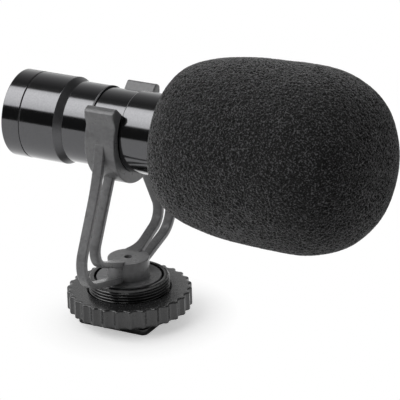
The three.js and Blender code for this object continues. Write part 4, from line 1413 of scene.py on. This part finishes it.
def make_floor(studio):
    """A pale floor that keeps the shadow near the foot and runs on as plain white"""
    bm = bmesh.new()
    bmesh.ops.create_grid(bm, x_segments=1, y_segments=1, size=FLOOR_HALF_SIDE)
    bmesh.ops.translate(bm, verts=bm.verts, vec=(0, 0, -FLOOR_DROP))
    floor = solid_object(bm, "floor")
    material = bpy.data.materials.new("floor white")
    material.use_nodes = True
    tree = material.node_tree
    tree.nodes.clear()
    white = tree.nodes.new("ShaderNodeBsdfDiffuse")
    white.inputs["Color"].default_value = (0.9, 0.9, 0.9, 1)
    lift, plain = tree.nodes.new("ShaderNodeEmission"), tree.nodes.new("ShaderNodeEmission")
    seen, glossy = any_ray(tree, "Is Camera Ray"), any_ray(tree, "Is Glossy Ray", "Is Transmission Ray")
    tree.links.new(calculated(tree, "MULTIPLY", seen, studio.floor_lift), lift.inputs["Strength"])
    tree.links.new(ranged(tree, glossy, 1.0, studio.floor_gloss, 0.0, 1.0), plain.inputs["Strength"])
    near = tree.nodes.new("ShaderNodeAddShader")
    tree.links.new(white.outputs[0], near.inputs[0])
    tree.links.new(lift.outputs[0], near.inputs[1])
    place = tree.nodes.new("ShaderNodeTexCoord")
    far = tree.nodes.new("ShaderNodeVectorMath")
    far.operation = "LENGTH"
    tree.links.new(place.outputs["Object"], far.inputs[0])
    distance = far.outputs["Value"]
    away_seen = ranged(tree, distance, 0.0, 1.0, FLOOR_NEAR, FLOOR_FAR)
    away_in_gloss = ranged(tree, distance, 0.0, 1.0, FLOOR_NEAR, FLOOR_FAR_IN_GLOSS)
    away = calculated(tree, "MAXIMUM", calculated(tree, "MULTIPLY", away_seen, seen),
                      calculated(tree, "MULTIPLY", away_in_gloss, glossy))
    mixed = tree.nodes.new("ShaderNodeMixShader")
    tree.links.new(away, mixed.inputs[0])
    tree.links.new(near.outputs[0], mixed.inputs[1])
    tree.links.new(plain.outputs[0], mixed.inputs[2])
    tree.links.new(mixed.outputs[0], tree.nodes.new("ShaderNodeOutputMaterial").inputs["Surface"])
    floor.data.materials.append(material)


def make_lamp(studio):
    """One large soft lamp above and to the left"""
    data = bpy.data.lights.new("overhead", "AREA")
    data.shape = "RECTANGLE"
    data.size, data.size_y = LAMP_SIZE
    data.energy = studio.key
    lamp = bpy.data.objects.new("overhead", data)
    bpy.context.scene.collection.objects.link(lamp)
    lamp.location = LAMP_PLACE
    lamp.rotation_mode = "QUATERNION"
    lamp.rotation_quaternion = (lamp.location - Vector(LAMP_TARGET)).to_track_quat("Z", "Y")
    lamp.visible_glossy = False
    lamp.visible_camera = False


def make_camera(studio):
    """Camera at the photograph's place"""
    a, e = studio.azimuth, studio.elevation
    back = Vector((math.sin(a) * math.cos(e), -math.cos(a) * math.cos(e), math.sin(e)))
    right = (-back).cross(Z).normalized()
    up = right.cross(-back)
    turn = Matrix.Rotation(studio.roll, 3, back)
    basis = Matrix((turn @ right, turn @ up, back)).transposed().to_4x4()
    target = Vector(CAMERA_TARGET)
    data = bpy.data.cameras.new("camera")
    data.lens = studio.lens
    data.sensor_width = 36
    data.clip_start, data.clip_end = 0.01, 50
    camera = bpy.data.objects.new("camera", data)
    bpy.context.scene.collection.objects.link(camera)
    camera.matrix_world = Matrix.Translation(target + back * studio.distance) @ basis
    bpy.context.scene.camera = camera


class MICROPHONE_OT_stage(bpy.types.Operator):
    """Floor, light and camera"""
    bl_idname = "microphone.stage"
    bl_label = "Stage"

    def execute(self, context):
        studio = context.scene.microphone_studio
        make_camera(studio)
        make_world(studio)
        make_floor(studio)
        make_lamp(studio)
        make_room(studio)
        context.scene.view_settings.view_transform = "Standard"
        return {"FINISHED"}


class MICROPHONE_PT_panel(bpy.types.Panel):
    """Sizes, colours and buttons"""
    bl_idname = "MICROPHONE_PT_panel"
    bl_label = "Camera microphone"
    bl_space_type = "VIEW_3D"
    bl_region_type = "UI"
    bl_category = "Microphone"

    def draw(self, context):
        for name in GROUPS:
            box = self.layout.box()
            box.label(text=name.replace("_", " ").capitalize())
            group = getattr(context.scene, name)
            for size in group.bl_rna.properties.keys():
                if size not in ("rna_type", "name"):
                    box.prop(group, size)
        for operator in OPERATORS:
            self.layout.operator(operator.bl_idname)


GROUPS = {
    "microphone_barrel": BarrelSizes,
    "microphone_tube": TubeSizes,
    "microphone_mount": MountSizes,
    "microphone_foot": FootSizes,
    "microphone_foam": FoamSizes,
    "microphone_studio": StudioSizes,
}
OPERATORS = (
    MICROPHONE_OT_stage,
    MICROPHONE_OT_barrel,
    MICROPHONE_OT_socket,
    MICROPHONE_OT_tube,
    MICROPHONE_OT_front_mesh,
    MICROPHONE_OT_mount,
    MICROPHONE_OT_foot,
    MICROPHONE_OT_collar,
    MICROPHONE_OT_wheel,
    MICROPHONE_OT_windscreen,
    MICROPHONE_OT_inner_finishes,
)


def register():
    for name, group in GROUPS.items():
        bpy.utils.register_class(group)
        setattr(bpy.types.Scene, name, PointerProperty(type=group))
    for operator in OPERATORS:
        bpy.utils.register_class(operator)
    bpy.utils.register_class(MICROPHONE_PT_panel)


def unregister():
    bpy.utils.unregister_class(MICROPHONE_PT_panel)
    for operator in reversed(OPERATORS):
        bpy.utils.unregister_class(operator)
    for name, group in GROUPS.items():
        delattr(bpy.types.Scene, name)
        bpy.utils.unregister_class(group)


def main():
    register()
    for operator in OPERATORS:
        group, action = operator.bl_idname.split(".")
        getattr(getattr(bpy.ops, group), action)()


if __name__ == "__main__":
    main()
